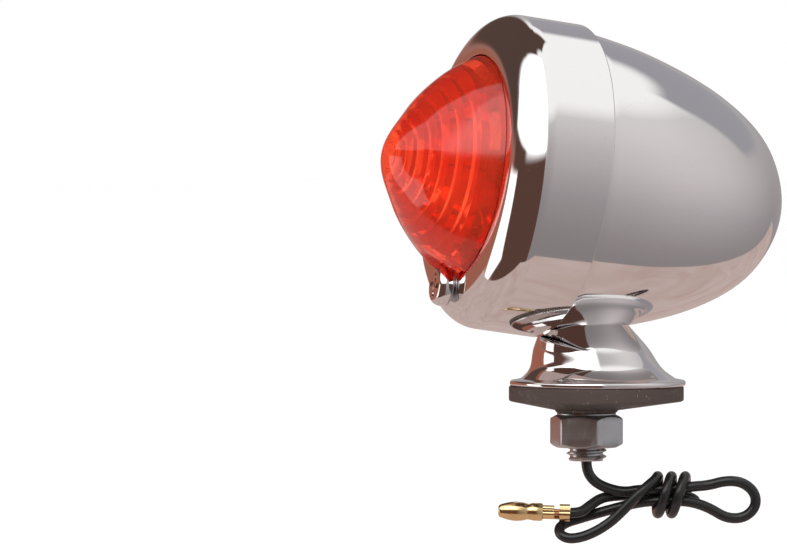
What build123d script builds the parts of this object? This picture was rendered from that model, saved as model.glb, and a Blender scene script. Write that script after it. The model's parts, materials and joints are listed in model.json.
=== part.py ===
from build123d import *
import math
import os

# Motorcycle turn signal on a hollow threaded stud, in millimetres.
# +Z is up, the lens faces -Y, and the origin is on the stud's axis where the pad meets the bracket.

# Driving dimensions: lamp head. Places along the lamp axis count forward from the stud's axis.
HEAD_TILT = 8.2  # degrees that the lens looks up
SADDLE_HEIGHT = 16.5  # underside of the housing over the bracket
BEZEL_RADIUS = 31.5
BEZEL_LIP = 26.2
BEZEL_REAR = 6.9
BEZEL_CORNER_DEPTH = 7.0
BEZEL_WALL = 0.8
BEZEL_LIP_FLAT = 0.6  # flat ring round the opening before the front rounds off
OPENING_RADIUS = 22.6
SKIRT_GAP = 0.3  # bezel skirt to housing
HOUSING_LIP = 13.0
HOUSING_WALL = 0.9
TAIL = 41.1  # tail of the bowl behind the stud's axis
BOWL_SHARES = ((0.34, 0.90), (0.68, 0.697), (0.895, 0.428))  # share of length, share of radius
BOWL_START_SLOPE = 0.15
BOWL_INSET_POINTS = 7
FLOOR_SHARE = 0.952  # bowl radius over the stud as a share of the mouth's

# Lens, gasket and retainer
LENS_APEX = 43.4
LENS_GAP = 0.3
LENS_WALL = 2.2
LENS_SEAT_DROP = 1.7  # flange's front face behind the bezel's lip
LENS_FLANGE_WIDTH = 3.4
LENS_FLANGE_THICKNESS = 1.8
DOME_SHARES = ((0.29, 0.485), (0.64, 0.80))  # share of height from the tip, share of radius
DOME_END_SLOPE = 0.60
DOME_INSET_POINTS = 6
GASKET_THICKNESS = 1.2
RETAINER_THICKNESS = 0.6
RETAINER_RADIUS = 29.6
RING_SETBACK = 1.8  # bore of the gasket and of the retainer inside the opening's radius

# Bezel screw (M4) and what it screws into
SCREW_PLACE = 1.4  # screw axis outside the opening's edge
SCREW_RADIUS = 2.0
SCREW_OVERRUN = 0.3  # screw's tip past its nut
SCREW_HEAD_RADIUS = 4.0
SCREW_HEAD_HEIGHT = 2.5
SCREW_HEAD_ROUND = 1.5
SCREW_GAP = 0.3
THREAD_GAP = 0.05
SCREW_LUG_RADIUS = 4.3
SCREW_LUG_BLEND = 2.6
SCALLOP_RADIUS = 6.3
CROSS_WIDTH = 1.1
CROSS_SPAN = 4.8
CROSS_DEPTH = 1.3
SCREW_WASHER_RADIUS = 3.8
SCREW_WASHER_THICKNESS = 0.5
TAB_GAP = 0.4125  # tab behind the reflector's deepest dish
TAB_THICKNESS = 1.2
TAB_WIDTH = 12.0
TAB_REACH = 3.6  # metal above the screw's axis
TAB_NUT_ACROSS = 7.0
TAB_NUT_HEIGHT = 2.6

# Reflector
REFLECTOR_WALL = 0.5
REFLECTOR_RIM_WIDTH = 3.4
REFLECTOR_BACK = 4.5
REFLECTOR_GAP = 1.05  # round the bulb holder
REFLECTOR_BULGE = 1.6

# Bulb with bayonet base, and its holder
BULB_GAP = 3.0  # bulb's widest ring inside the lens's scallop
BULB_CENTRE = 23.0
BULB_GLASS_WALL = 0.8
BULB_NECK_FRONT = 10.0
BULB_NECK_SINK = 3.0  # neck inside the base cap
BULB_BASE_RADIUS = 7.5
BULB_BASE_FRONT = 5.5
BULB_BASE_LENGTH = 16.8
BULB_BASE_WALL = 0.5
BULB_BUTTON_HEIGHT = 1.0
BULB_BUTTON_RADIUS = 2.2
PIN_PLACE = -3.0
PIN_RADIUS = 1.0
PIN_REACH = 1.1
FILAMENT_PLACE = 20.0
FILAMENT_HALF = 3.0
FILAMENT_RADIUS = 0.35
SUPPORT_RADIUS = 0.3
STEM_RADIUS = 3.4
STEM_LENGTH = 8.2
STEM_FLARE = 0.8
STEM_TAPER = 10.0
SOCKET_GAP = 0.25
SOCKET_WALL = 0.6
SOCKET_FRONT = 5.0
SOCKET_LENGTH = 28.0
SOCKET_FLOOR = 0.8
SOCKET_FLOOR_BORE = 2.6
BULB_PUSH = 3.0
BAYONET_TURN = 18.0
SLOT_GAP = 0.35
PLUNGER_THICKNESS = 1.5
PLUNGER_GAP = 0.35
CONTACT_RADIUS = 1.6
CONTACT_TAIL = 3.0
SPRING_RADIUS = 5.2
SPRING_WIRE = 0.4
SPRING_TURNS = 4
SPRING_SEAT = 0.6  # wire's centre off the faces it presses

# Stud, base and fixings
STUD_RADIUS = 4.0
STUD_BORE = 1.5
STUD_END = -9.6
STUD_OVER_NUT = 1.5  # stud's end past the inner nut
STUD_CHAMFER = 0.6
STUD_LAND = 2.0  # plain land at the free end
RELIEF_DEPTH = 0.35
RELIEF_WIDTH = 0.8
HOLE_GAP = 0.3
FLANGE_RADIUS = 17.6
FLANGE_SHIFT = 2.4  # flange's centre behind the stud
FLANGE_UNDERSIDE = 5.4
FLANGE_THICKNESS = 1.1
CONE_TOP_RADIUS = 8.8
CONE_FOOT_RADIUS = 14.9
CONE_FOOT_HEIGHT = 7.3
PEDESTAL_WALL = 1.3
PAD_RADIUS = 17.5
PAD_SHIFT = 2.1
PAD_EDGE_LOW = 2.3
PAD_BOSS_RADIUS = 6.2
PAD_BOSS_LOW = 0.4
PAD_CORNER = 0.5
WASHER_RADIUS = 5.9
WASHER_THICKNESS = 0.4
NUT_ACROSS_FLATS = 13.0
NUT_HEIGHT = 6.5
NUT_TURN = 26.4  # degrees from +X to the normal of one flat
NUT_CHAMFER_SHARE = 0.96
SADDLE_WASHER_RADIUS = 7.2
SADDLE_WASHER_RISE = 2.7  # its flat top over the housing's underside
BRACKET_THICKNESS = 1.2
BRACKET_WIDTH = 11.0
BRACKET_WEB_BACK = 9.4
BRACKET_FOOT_FRONT = -6.2
BRACKET_EYE_RADIUS = 2.0
BRACKET_EYE_RISE = 5.8  # eye's centre over the stud's top
INNER_NUT_HEIGHT = 4.5
INNER_NUT_TURN = 30.0
CONE_TOP_SHARE = 0.2  # the cone's part past the housing's underside, trimmed to the bowl

# Lead: its diameter, and the upright plane that it hangs in, turned from the side view
LEAD_RADIUS = 1.05
LEAD_TURN = 69.0
WRAP_START = 12.4
WRAP_END = 21.2
WRAP_HEIGHT = -16.4
WRAP_RADIUS = 4.85
LEAD_DROP = [  # stud's end to the wraps: along the plane, height, toward the near side
    (0, STUD_END, 0), (0, -11.5, 0), (1.5, -13.8, 0), (4.3, -15.4, 0),
    (7.6, -16.15, 0), (10.4, -15.75, -0.2), (WRAP_START, -15.75, -0.2),
]
LEAD_RIGHT_LOOP = [
    (WRAP_END, -14.5, 0), (24.4, -14.5, 0), (27.9, -13.5, 0.3), (31.2, -13.8, 0.2),
    (33.7, -15.9, 0), (33.9, -18.8, -0.1), (31.6, -21.0, 0), (28.0, -21.1, 0.2),
    (24.6, -19.0, 0), (WRAP_END, -19.0, 0),
]
LEAD_LEFT_LOOP = [
    (WRAP_START, -18.2, 0.2), (9.6, -18.2, 0.2), (6.4, -19.0, -0.5), (2.1, -20.2, -1.2),
    (-1.4, -21.3, -1.8), (-4.1, -22.1, -1.7), (-5.6, -23.2, -0.4), (-5.1, -24.6, 1.2), (-2.9, -25.2, 2.3),
    (0.6, -24.3, 2.6), (4.4, -22.1, 2.7), (7.3, -18.8, 3.0), (9.4, -15.9, 3.1), (10.6, -15.1, 3.1),
    (WRAP_START, -15.1, 3.1),
]
LEAD_TAIL = [
    (WRAP_START, -16.6, -2.6), (9.9, -16.6, -2.6), (6.6, -16.7, -2.2), (3.1, -17.0, -1.2),
    (0.8, -18.5, 0.2), (-1.2, -20.0, 1.6), (-3.2, -19.95, 1.6),
]
# Bullet connector: where its tip lies, and its stretches counted from the lead's end
CONNECTOR_TIP = (-17.3, -19.55, 1.6)
CONNECTOR_LENGTH = 14.4
INSULATION_CRIMP_END = 2.0
CRIMP_START = 2.8
CRIMP_END = 5.7
COLLAR_START = 5.9
COLLAR_END = 7.6
BULLET_NECK_START = 8.2
BULLET_NECK_END = 8.8
BULLET_TIP_LENGTH = 3.6
BULLET_RADIUS = 1.95
BULLET_TIP_RADIUS = 0.9
BULLET_NECK_RADIUS = 1.6
COLLAR_RADIUS = 1.8
CRIMP_RADIUS = 1.4
INSULATION_CRIMP_RADIUS = 1.75
STRAND_RADIUS = 0.75
STRAND_LENGTH = 5.4

# Derived places
HOUSING_RADIUS = BEZEL_RADIUS - BEZEL_WALL - SKIRT_GAP
AXIS_HEIGHT = SADDLE_HEIGHT + FLOOR_SHARE * HOUSING_RADIUS
LENS_RADIUS = OPENING_RADIUS - LENS_GAP
LENS_SEAT = BEZEL_LIP - LENS_SEAT_DROP
SCREW_SEAT = BEZEL_LIP + SCREW_WASHER_THICKNESS
SOCKET_BORE = BULB_BASE_RADIUS + SOCKET_GAP
SOCKET_RADIUS = SOCKET_BORE + SOCKET_WALL
SOCKET_BACK = SOCKET_FRONT - SOCKET_LENGTH
BULB_BASE_BACK = BULB_BASE_FRONT - BULB_BASE_LENGTH
BULB_END = BULB_BASE_BACK - BULB_BUTTON_HEIGHT
BULB_NECK_RADIUS = BULB_BASE_RADIUS - BULB_BASE_WALL
BULB_NECK_BACK = BULB_BASE_FRONT - BULB_NECK_SINK
FLANGE_TOP = FLANGE_UNDERSIDE + FLANGE_THICKNESS
RING_BORE = OPENING_RADIUS - RING_SETBACK
SCREW_DROP = OPENING_RADIUS + SCREW_PLACE
BULB_RADIUS = SCREW_DROP - SCALLOP_RADIUS - LENS_WALL - BULB_GAP
REFLECTOR_BORE = SOCKET_RADIUS + REFLECTOR_GAP
DISH_RADIUS = HOUSING_RADIUS - REFLECTOR_RIM_WIDTH
TAB_SHARE = (SCREW_DROP - TAB_REACH - REFLECTOR_BORE) / (DISH_RADIUS - REFLECTOR_BORE)
TAB_FRONT = REFLECTOR_BACK + TAB_SHARE * (HOUSING_LIP - REFLECTOR_BACK) - REFLECTOR_BULGE - TAB_GAP
SCREW_LENGTH = SCREW_SEAT - TAB_FRONT + TAB_THICKNESS + TAB_NUT_HEIGHT + SCREW_OVERRUN
SADDLE_WASHER_TOP = SADDLE_HEIGHT + SADDLE_WASHER_RISE
STUD_TOP = SADDLE_WASHER_TOP + BRACKET_THICKNESS + INNER_NUT_HEIGHT + STUD_OVER_NUT
BRACKET_EYE_HEIGHT = STUD_TOP + BRACKET_EYE_RISE
INNER_LEAD = [  # from inside the spring, out of the socket's floor, through the bracket's eye, down the stud
    (0, 18.6, AXIS_HEIGHT - 2.7), (0, 25.9, AXIS_HEIGHT - 3.7), (0, 29.8, AXIS_HEIGHT - 7.2),
    (0, 29.0, STUD_TOP + 7.0), (0, 24.4, STUD_TOP + 4.5), (0, 17.5, STUD_TOP + 4.9),
    (0, 10.7, STUD_TOP + 5.9), (0, 4.9, STUD_TOP + 5.6), (0, 1.4, STUD_TOP + 3.5),
    (0, 0, STUD_TOP + 0.2), (0, 0, STUD_END),
]

tilt = math.radians(HEAD_TILT)
forward = Vector(0, -math.cos(tilt), math.sin(tilt))
crossing = Vector(0, 0, AXIS_HEIGHT)
HEAD = Plane(origin=crossing, x_dir=(1, 0, 0), z_dir=forward)  # x across, y up, z forward
PROFILE = Plane(origin=crossing, x_dir=forward, z_dir=(-1, 0, 0))  # x forward, y up
LAMP_AXIS = Axis(crossing, forward)
BASE_PROFILE = Plane.XZ  # x across, y up, for pieces round the stud
SCREW_AXIS_PLANE = HEAD.shift_origin(HEAD.from_local_coords((0, -SCREW_DROP, 0)))

lead_along = Vector(math.cos(math.radians(LEAD_TURN)), math.sin(math.radians(LEAD_TURN)), 0)
lead_near = Vector(math.sin(math.radians(LEAD_TURN)), -math.cos(math.radians(LEAD_TURN)), 0)

os.makedirs("parts", exist_ok=True)


def save(builder, name):
    """Label one finished piece and write it."""
    builder.part.label = name
    export_step(builder.part, f"parts/{name}.step")


def lead_point(place):
    """A place in the lead's plane as a point in the part's frame."""
    along, height, near = place
    return lead_along * along + lead_near * near + Vector(0, 0, height)


def route_radii(points, name):
    """The largest arc that each corner's two runs allow."""
    radii = []
    for before, corner, after in zip(points, points[1:], points[2:]):
        run_in = corner - before
        run_out = after - corner
        half_turn = math.radians(run_in.get_angle(run_out)) / 2
        radii.append(0.45 * min(run_in.length, run_out.length) / math.tan(half_turn))
    print(name, "radii", [round(radius, 1) for radius in radii])
    return radii


def inset_points(curve, inset, count):
    """Points along a curve moved by inset to its left side, and the end directions."""
    places = [index / (count - 1) for index in range(count)]
    points = []
    for place in places:
        along = curve % place
        point = curve @ place
        points.append((point.X - along.Y * inset, point.Y + along.X * inset))
    return points, [curve % 0, curve % 1]


# Outlines that more than one piece follows
bowl_points = [(BEZEL_REAR, HOUSING_RADIUS)]
for length_share, radius_share in BOWL_SHARES:
    bowl_points.append((BEZEL_REAR - length_share * (BEZEL_REAR + TAIL), radius_share * HOUSING_RADIUS))
bowl_points.append((-TAIL, 0))
bowl_curve = Spline(*bowl_points, tangents=[(-1, -BOWL_START_SLOPE), (0, -1)])
bowl_inner, bowl_inner_ends = inset_points(bowl_curve, HOUSING_WALL, BOWL_INSET_POINTS)

dome_height = LENS_APEX - BEZEL_LIP
dome_points = [(LENS_APEX, 0)]
for height_share, radius_share in DOME_SHARES:
    dome_points.append((LENS_APEX - height_share * dome_height, radius_share * LENS_RADIUS))
dome_points.append((BEZEL_LIP, LENS_RADIUS))
dome_curve = Spline(*dome_points, tangents=[(0, 1), (-1, DOME_END_SLOPE)])
dome_inner, dome_inner_ends = inset_points(dome_curve, LENS_WALL, DOME_INSET_POINTS)

# Solid shapes that trim other pieces
with BuildPart() as head_envelope:
    with BuildSketch(PROFILE):
        with BuildLine():
            Line((HOUSING_LIP, HOUSING_RADIUS), bowl_points[0])
            Spline(*bowl_points, tangents=[(-1, -BOWL_START_SLOPE), (0, -1)])
            Polyline(bowl_points[-1], (HOUSING_LIP, 0), (HOUSING_LIP, HOUSING_RADIUS))
        make_face()
    revolve(axis=LAMP_AXIS)

with BuildPart() as head_cavity:
    cavity_mouth = HOUSING_LIP + HOUSING_WALL
    with BuildSketch(PROFILE):
        with BuildLine():
            Line((cavity_mouth, bowl_inner[0][1]), bowl_inner[0])
            Spline(*bowl_inner, tangents=bowl_inner_ends)
            Polyline(bowl_inner[-1], (cavity_mouth, 0), (cavity_mouth, bowl_inner[0][1]))
        make_face()
    revolve(axis=LAMP_AXIS)

# Housing: one drawn bowl with the stud's hole in its floor
with BuildPart() as housing_shell:
    add(head_envelope.part)
    add(head_cavity.part, mode=Mode.SUBTRACT)
    with BuildSketch(Plane.XY.offset(FLANGE_TOP)):
        Circle(STUD_RADIUS + HOLE_GAP)
    extrude(amount=SADDLE_WASHER_TOP - FLANGE_TOP, mode=Mode.SUBTRACT)
save(housing_shell, "housing_shell")


def bezel_fill(wall):
    """Half outline of the bezel's filled shape, inset by wall, closed on the lamp axis."""
    corner_start = BEZEL_LIP - BEZEL_CORNER_DEPTH
    flat_end = OPENING_RADIUS + BEZEL_LIP_FLAT
    side = BEZEL_RADIUS - wall
    front = BEZEL_LIP - wall
    Line((BEZEL_REAR, 0), (BEZEL_REAR, side))
    Line((BEZEL_REAR, side), (corner_start, side))
    EllipticalCenterArc(
        (corner_start, flat_end), front - corner_start, side - flat_end, start_angle=0, arc_size=90
    )
    Line((front, flat_end), (front, 0))
    Line((front, 0), (BEZEL_REAR, 0))


# Bezel: drawn ring with a rounded front, and a lug that the screw passes through
with BuildPart() as bezel:
    with BuildSketch(PROFILE):
        with BuildLine():
            bezel_fill(0)
        make_face()
    revolve(axis=LAMP_AXIS)
    with BuildSketch(PROFILE):
        with BuildLine():
            bezel_fill(BEZEL_WALL)
        make_face()
    revolve(axis=LAMP_AXIS, mode=Mode.SUBTRACT)
    with BuildSketch(HEAD.offset(BEZEL_LIP + BEZEL_WALL)) as opening:
        Circle(OPENING_RADIUS)
        with Locations((0, -SCREW_DROP)):
            Circle(SCREW_LUG_RADIUS, mode=Mode.SUBTRACT)
        fillet(opening.vertices(), radius=SCREW_LUG_BLEND)
    extrude(amount=-3 * BEZEL_WALL, mode=Mode.SUBTRACT)
    with BuildSketch(SCREW_AXIS_PLANE.offset(BEZEL_LIP + BEZEL_WALL)):
        Circle(SCREW_RADIUS + SCREW_GAP)
    extrude(amount=-3 * BEZEL_WALL, mode=Mode.SUBTRACT)
save(bezel, "bezel")

# Lens: rounded cone on a flange, with a scallop round the screw and the same wall everywhere
with BuildPart() as lens_hollow:
    hollow_back = LENS_SEAT - 2 * LENS_FLANGE_THICKNESS
    with BuildSketch(PROFILE):
        with BuildLine():
            Spline(*dome_inner, tangents=dome_inner_ends)
            Polyline(
                dome_inner[-1],
                (hollow_back, dome_inner[-1][1]),
                (hollow_back, 0),
                dome_inner[0],
            )
        make_face()
    revolve(axis=LAMP_AXIS)
    with BuildSketch(SCREW_AXIS_PLANE.offset(hollow_back)):
        Circle(SCALLOP_RADIUS + LENS_WALL)
    extrude(amount=LENS_APEX - hollow_back, mode=Mode.SUBTRACT)

with BuildPart() as lens:
    with BuildSketch(PROFILE):
        with BuildLine():
            Spline(*dome_points, tangents=[(0, 1), (-1, DOME_END_SLOPE)])
            Polyline(dome_points[-1], (LENS_SEAT, LENS_RADIUS), (LENS_SEAT, 0), dome_points[0])
        make_face()
    revolve(axis=LAMP_AXIS)
    with BuildSketch(SCREW_AXIS_PLANE.offset(LENS_SEAT)):
        Circle(SCALLOP_RADIUS)
    extrude(amount=LENS_APEX - LENS_SEAT, mode=Mode.SUBTRACT)
    with BuildSketch(HEAD.offset(LENS_SEAT)):
        Circle(OPENING_RADIUS + LENS_FLANGE_WIDTH)
    extrude(amount=-LENS_FLANGE_THICKNESS)
    add(lens_hollow.part, mode=Mode.SUBTRACT)
    with BuildSketch(SCREW_AXIS_PLANE.offset(LENS_SEAT)):
        Circle(SCREW_RADIUS + 2 * SCREW_GAP)
    extrude(amount=-2 * LENS_FLANGE_THICKNESS, mode=Mode.SUBTRACT)
save(lens, "lens")

# Gasket behind the lens flange, and the ring that presses it
RING_PLACES = (
    ("lens_gasket", OPENING_RADIUS + LENS_FLANGE_WIDTH, GASKET_THICKNESS, LENS_SEAT - LENS_FLANGE_THICKNESS),
    ("lens_retainer", RETAINER_RADIUS, RETAINER_THICKNESS, LENS_SEAT - LENS_FLANGE_THICKNESS - GASKET_THICKNESS),
)
for ring_name, ring_radius, ring_thickness, ring_front in RING_PLACES:
    with BuildPart() as ring:
        with BuildSketch(HEAD.offset(ring_front)):
            Circle(ring_radius)
            Circle(RING_BORE, mode=Mode.SUBTRACT)
            with Locations((0, -SCREW_DROP)):
                Circle(SCREW_RADIUS + 2 * SCREW_GAP, mode=Mode.SUBTRACT)
        extrude(amount=-ring_thickness)
    save(ring, ring_name)

# Bezel screw: pan head with a cross recess, and the sealing washer under it
with BuildPart() as bezel_screw:
    with BuildSketch(SCREW_AXIS_PLANE.offset(SCREW_SEAT)):
        Circle(SCREW_HEAD_RADIUS)
    extrude(amount=SCREW_HEAD_HEIGHT)
    fillet(bezel_screw.edges().sort_by(LAMP_AXIS)[-1], radius=SCREW_HEAD_ROUND)
    with BuildSketch(SCREW_AXIS_PLANE.offset(SCREW_SEAT + SCREW_HEAD_HEIGHT)):
        Rectangle(CROSS_WIDTH, CROSS_SPAN)
        Rectangle(CROSS_SPAN, CROSS_WIDTH)
    extrude(amount=-CROSS_DEPTH, mode=Mode.SUBTRACT)
    with BuildSketch(SCREW_AXIS_PLANE.offset(SCREW_SEAT)):
        Circle(SCREW_RADIUS)
    extrude(amount=-SCREW_LENGTH)
save(bezel_screw, "bezel_screw")

with BuildPart() as screw_washer:
    with BuildSketch(SCREW_AXIS_PLANE.offset(BEZEL_LIP)):
        Circle(SCREW_WASHER_RADIUS)
        Circle(SCREW_RADIUS + THREAD_GAP, mode=Mode.SUBTRACT)
    extrude(amount=SCREW_WASHER_THICKNESS)
save(screw_washer, "screw_washer")

# Tab inside the housing's mouth, with the clinch nut that takes the bezel screw
with BuildPart() as screw_tab:
    with BuildSketch(SCREW_AXIS_PLANE.offset(TAB_FRONT)):
        with Locations((0, TAB_REACH)):
            Rectangle(TAB_WIDTH, HOUSING_RADIUS - SCREW_DROP + 2 * TAB_REACH, align=(Align.CENTER, Align.MAX))
        Circle(SCREW_RADIUS + THREAD_GAP, mode=Mode.SUBTRACT)
    extrude(amount=-TAB_THICKNESS)
    add(head_cavity.part, mode=Mode.INTERSECT)
save(screw_tab, "screw_tab")

with BuildPart() as tab_nut:
    with BuildSketch(SCREW_AXIS_PLANE.offset(TAB_FRONT - TAB_THICKNESS)):
        RegularPolygon(TAB_NUT_ACROSS / 2, 6, major_radius=False)
        Circle(SCREW_RADIUS + THREAD_GAP, mode=Mode.SUBTRACT)
    extrude(amount=-TAB_NUT_HEIGHT)
save(tab_nut, "tab_nut")

# Reflector: shallow dish whose rim sits on the housing's lip
dish_middle = ((HOUSING_LIP + REFLECTOR_BACK) / 2 - REFLECTOR_BULGE, (DISH_RADIUS + REFLECTOR_BORE) / 2)
with BuildPart() as reflector:
    with BuildSketch(PROFILE):
        with BuildLine():
            Polyline(
                (HOUSING_LIP, DISH_RADIUS),
                (HOUSING_LIP, HOUSING_RADIUS),
                (HOUSING_LIP + REFLECTOR_WALL, HOUSING_RADIUS),
                (HOUSING_LIP + REFLECTOR_WALL, DISH_RADIUS),
            )
            ThreePointArc(
                (HOUSING_LIP + REFLECTOR_WALL, DISH_RADIUS),
                (dish_middle[0] + REFLECTOR_WALL, dish_middle[1]),
                (REFLECTOR_BACK + REFLECTOR_WALL, REFLECTOR_BORE),
            )
            Line((REFLECTOR_BACK + REFLECTOR_WALL, REFLECTOR_BORE), (REFLECTOR_BACK, REFLECTOR_BORE))
            ThreePointArc((REFLECTOR_BACK, REFLECTOR_BORE), dish_middle, (HOUSING_LIP, DISH_RADIUS))
        make_face()
    revolve(axis=LAMP_AXIS)
    with BuildSketch(SCREW_AXIS_PLANE):
        Circle(SCREW_RADIUS + 2 * SCREW_GAP)
    extrude(amount=2 * HOUSING_LIP, mode=Mode.SUBTRACT)
save(reflector, "reflector")

# Bulb holder: tube with two bayonet windows, wide enough for the push and the turn
with BuildPart() as socket_shell:
    with BuildSketch(HEAD.offset(SOCKET_BACK)):
        Circle(SOCKET_RADIUS)
    extrude(amount=SOCKET_LENGTH)
    with BuildSketch(HEAD.offset(SOCKET_BACK + SOCKET_FLOOR)):
        Circle(SOCKET_BORE)
    extrude(amount=SOCKET_LENGTH, mode=Mode.SUBTRACT)
    with BuildSketch(HEAD.offset(SOCKET_BACK)):
        Circle(SOCKET_FLOOR_BORE)
    extrude(amount=2 * SOCKET_FLOOR, mode=Mode.SUBTRACT)
    slot_width = 2 * (PIN_RADIUS + SLOT_GAP)
    window_back = PIN_PLACE - BULB_PUSH - PIN_RADIUS - SLOT_GAP
    for share in (0, 1 / 3, 2 / 3, 1):
        window_front = SOCKET_FRONT if share == 1 else PIN_PLACE + PIN_RADIUS + SLOT_GAP
        with BuildSketch(HEAD.offset(window_back)):
            Rectangle(3 * SOCKET_RADIUS, slot_width, rotation=share * BAYONET_TURN)
        extrude(amount=window_front - window_back, mode=Mode.SUBTRACT)
save(socket_shell, "socket_shell")

# Contact plunger: insulating disc on the spring, with the contact rivet through it
with BuildPart() as contact_insulator:
    with BuildSketch(HEAD.offset(BULB_END)):
        Circle(SOCKET_BORE - PLUNGER_GAP)
        Circle(CONTACT_RADIUS, mode=Mode.SUBTRACT)
    extrude(amount=-PLUNGER_THICKNESS)
save(contact_insulator, "contact_insulator")

with BuildPart() as contact_rivet:
    with BuildSketch(HEAD.offset(BULB_END)):
        Circle(CONTACT_RADIUS)
    extrude(amount=-CONTACT_TAIL)
save(contact_rivet, "contact_rivet")

spring_back = SOCKET_BACK + SOCKET_FLOOR + SPRING_SEAT
spring_length = BULB_END - PLUNGER_THICKNESS - SPRING_SEAT - spring_back
with BuildPart() as contact_spring:
    spring_start = HEAD.from_local_coords((0, 0, spring_back))
    with BuildLine() as spring_line:
        Helix(spring_length / SPRING_TURNS, spring_length, SPRING_RADIUS, center=spring_start, direction=forward)
    with BuildSketch(Plane(origin=spring_line.line @ 0, z_dir=spring_line.line % 0)):
        Circle(SPRING_WIRE)
    sweep(path=spring_line.line, is_frenet=True)
save(contact_spring, "contact_spring")

# Bulb: glass, base cap with two pins, end button and filament
with BuildPart() as bulb_glass:
    with BuildSketch(PROFILE):
        with BuildLine():
            JernArc((BULB_CENTRE + BULB_RADIUS, 0), (0, 1), BULB_RADIUS, 90)
            Spline(
                (BULB_CENTRE, BULB_RADIUS),
                (BULB_NECK_FRONT, BULB_NECK_RADIUS),
                tangents=[(-1, 0), (-1, 0)],
            )
            Polyline(
                (BULB_NECK_FRONT, BULB_NECK_RADIUS),
                (BULB_NECK_BACK, BULB_NECK_RADIUS),
                (BULB_NECK_BACK, BULB_NECK_RADIUS - BULB_GLASS_WALL),
                (BULB_NECK_FRONT, BULB_NECK_RADIUS - BULB_GLASS_WALL),
            )
            Spline(
                (BULB_NECK_FRONT, BULB_NECK_RADIUS - BULB_GLASS_WALL),
                (BULB_CENTRE, BULB_RADIUS - BULB_GLASS_WALL),
                tangents=[(1, 0), (1, 0)],
            )
            JernArc((BULB_CENTRE, BULB_RADIUS - BULB_GLASS_WALL), (1, 0), BULB_RADIUS - BULB_GLASS_WALL, -90)
            Line((BULB_CENTRE + BULB_RADIUS - BULB_GLASS_WALL, 0), (BULB_CENTRE + BULB_RADIUS, 0))
        make_face()
    revolve(axis=LAMP_AXIS)
save(bulb_glass, "bulb_glass")

with BuildPart() as bulb_base:
    with BuildSketch(HEAD.offset(BULB_BASE_BACK)):
        Circle(BULB_BASE_RADIUS)
    extrude(amount=BULB_BASE_LENGTH)
    with BuildSketch(HEAD.offset(BULB_BASE_FRONT)):
        Circle(BULB_BASE_RADIUS - BULB_BASE_WALL)
    extrude(amount=BULB_BASE_WALL - BULB_BASE_LENGTH, mode=Mode.SUBTRACT)
    for side in (1, -1):
        pin_root = HEAD.from_local_coords((side * (BULB_BASE_RADIUS - BULB_BASE_WALL), 0, PIN_PLACE))
        with BuildSketch(Plane(pin_root, z_dir=(side, 0, 0))):
            Circle(PIN_RADIUS)
        extrude(amount=BULB_BASE_WALL + PIN_REACH)
save(bulb_base, "bulb_base")

with BuildPart() as bulb_contact:
    with BuildSketch(HEAD.offset(BULB_END)):
        Circle(BULB_BUTTON_RADIUS)
    extrude(amount=BULB_BUTTON_HEIGHT)
save(bulb_contact, "bulb_contact")

with BuildPart() as glass_stem:
    with BuildSketch(HEAD.offset(BULB_NECK_BACK)):
        Circle(BULB_NECK_RADIUS - BULB_GLASS_WALL)
    extrude(amount=STEM_FLARE)
    with BuildSketch(HEAD.offset(BULB_NECK_BACK + STEM_FLARE)):
        Circle(STEM_RADIUS)
    extrude(amount=STEM_LENGTH, taper=STEM_TAPER)
save(glass_stem, "glass_stem")

with BuildPart() as filament_supports:
    stem_front = BULB_NECK_BACK + STEM_FLARE + STEM_LENGTH
    with BuildSketch(HEAD.offset(stem_front)):
        with Locations((-FILAMENT_HALF, 0), (FILAMENT_HALF, 0)):
            Circle(SUPPORT_RADIUS)
    extrude(amount=FILAMENT_PLACE - FILAMENT_RADIUS - stem_front)
    with BuildSketch(HEAD.offset(stem_front)):
        Rectangle(2 * FILAMENT_HALF, 2 * SUPPORT_RADIUS)
    extrude(amount=2 * SUPPORT_RADIUS)
save(filament_supports, "filament_supports")

with BuildPart() as filament:
    filament_start = HEAD.from_local_coords((-FILAMENT_HALF - FILAMENT_RADIUS, 0, FILAMENT_PLACE))
    with BuildSketch(Plane(filament_start, z_dir=(1, 0, 0))):
        Circle(FILAMENT_RADIUS)
    extrude(amount=2 * (FILAMENT_HALF + FILAMENT_RADIUS))
save(filament, "filament")

# Mounting stud: hollow, its free end a plain land past a relief groove
with BuildPart() as mounting_stud:
    with BuildSketch(BASE_PROFILE):
        with BuildLine():
            land_top = STUD_END + STUD_CHAMFER + STUD_LAND
            Polyline(
                (STUD_BORE, STUD_END),
                (STUD_RADIUS - STUD_CHAMFER, STUD_END),
                (STUD_RADIUS, STUD_END + STUD_CHAMFER),
                (STUD_RADIUS, land_top),
                (STUD_RADIUS - RELIEF_DEPTH, land_top),
                (STUD_RADIUS - RELIEF_DEPTH, land_top + RELIEF_WIDTH),
                (STUD_RADIUS, land_top + RELIEF_WIDTH),
                (STUD_RADIUS, STUD_TOP - STUD_CHAMFER),
                (STUD_RADIUS - STUD_CHAMFER, STUD_TOP),
                (STUD_BORE, STUD_TOP),
                close=True,
            )
        make_face()
    revolve(axis=Axis.Z)
save(mounting_stud, "mounting_stud")


def base_cone(inset):
    """Slanted cone from the flange's centre up past the housing's underside."""
    rise = SADDLE_HEIGHT - CONE_FOOT_HEIGHT
    spread = (CONE_FOOT_RADIUS - CONE_TOP_RADIUS) / rise
    lift = CONE_TOP_SHARE * rise
    with BuildPart() as cone:
        with BuildSketch(Plane.XY.offset(CONE_FOOT_HEIGHT)):
            with Locations((0, FLANGE_SHIFT)):
                Circle(CONE_FOOT_RADIUS - inset)
        with BuildSketch(Plane.XY.offset(SADDLE_HEIGHT + lift)):
            with Locations((0, -lift * FLANGE_SHIFT / rise)):
                Circle(CONE_TOP_RADIUS - inset - lift * spread)
        loft()
    return cone.part


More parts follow.
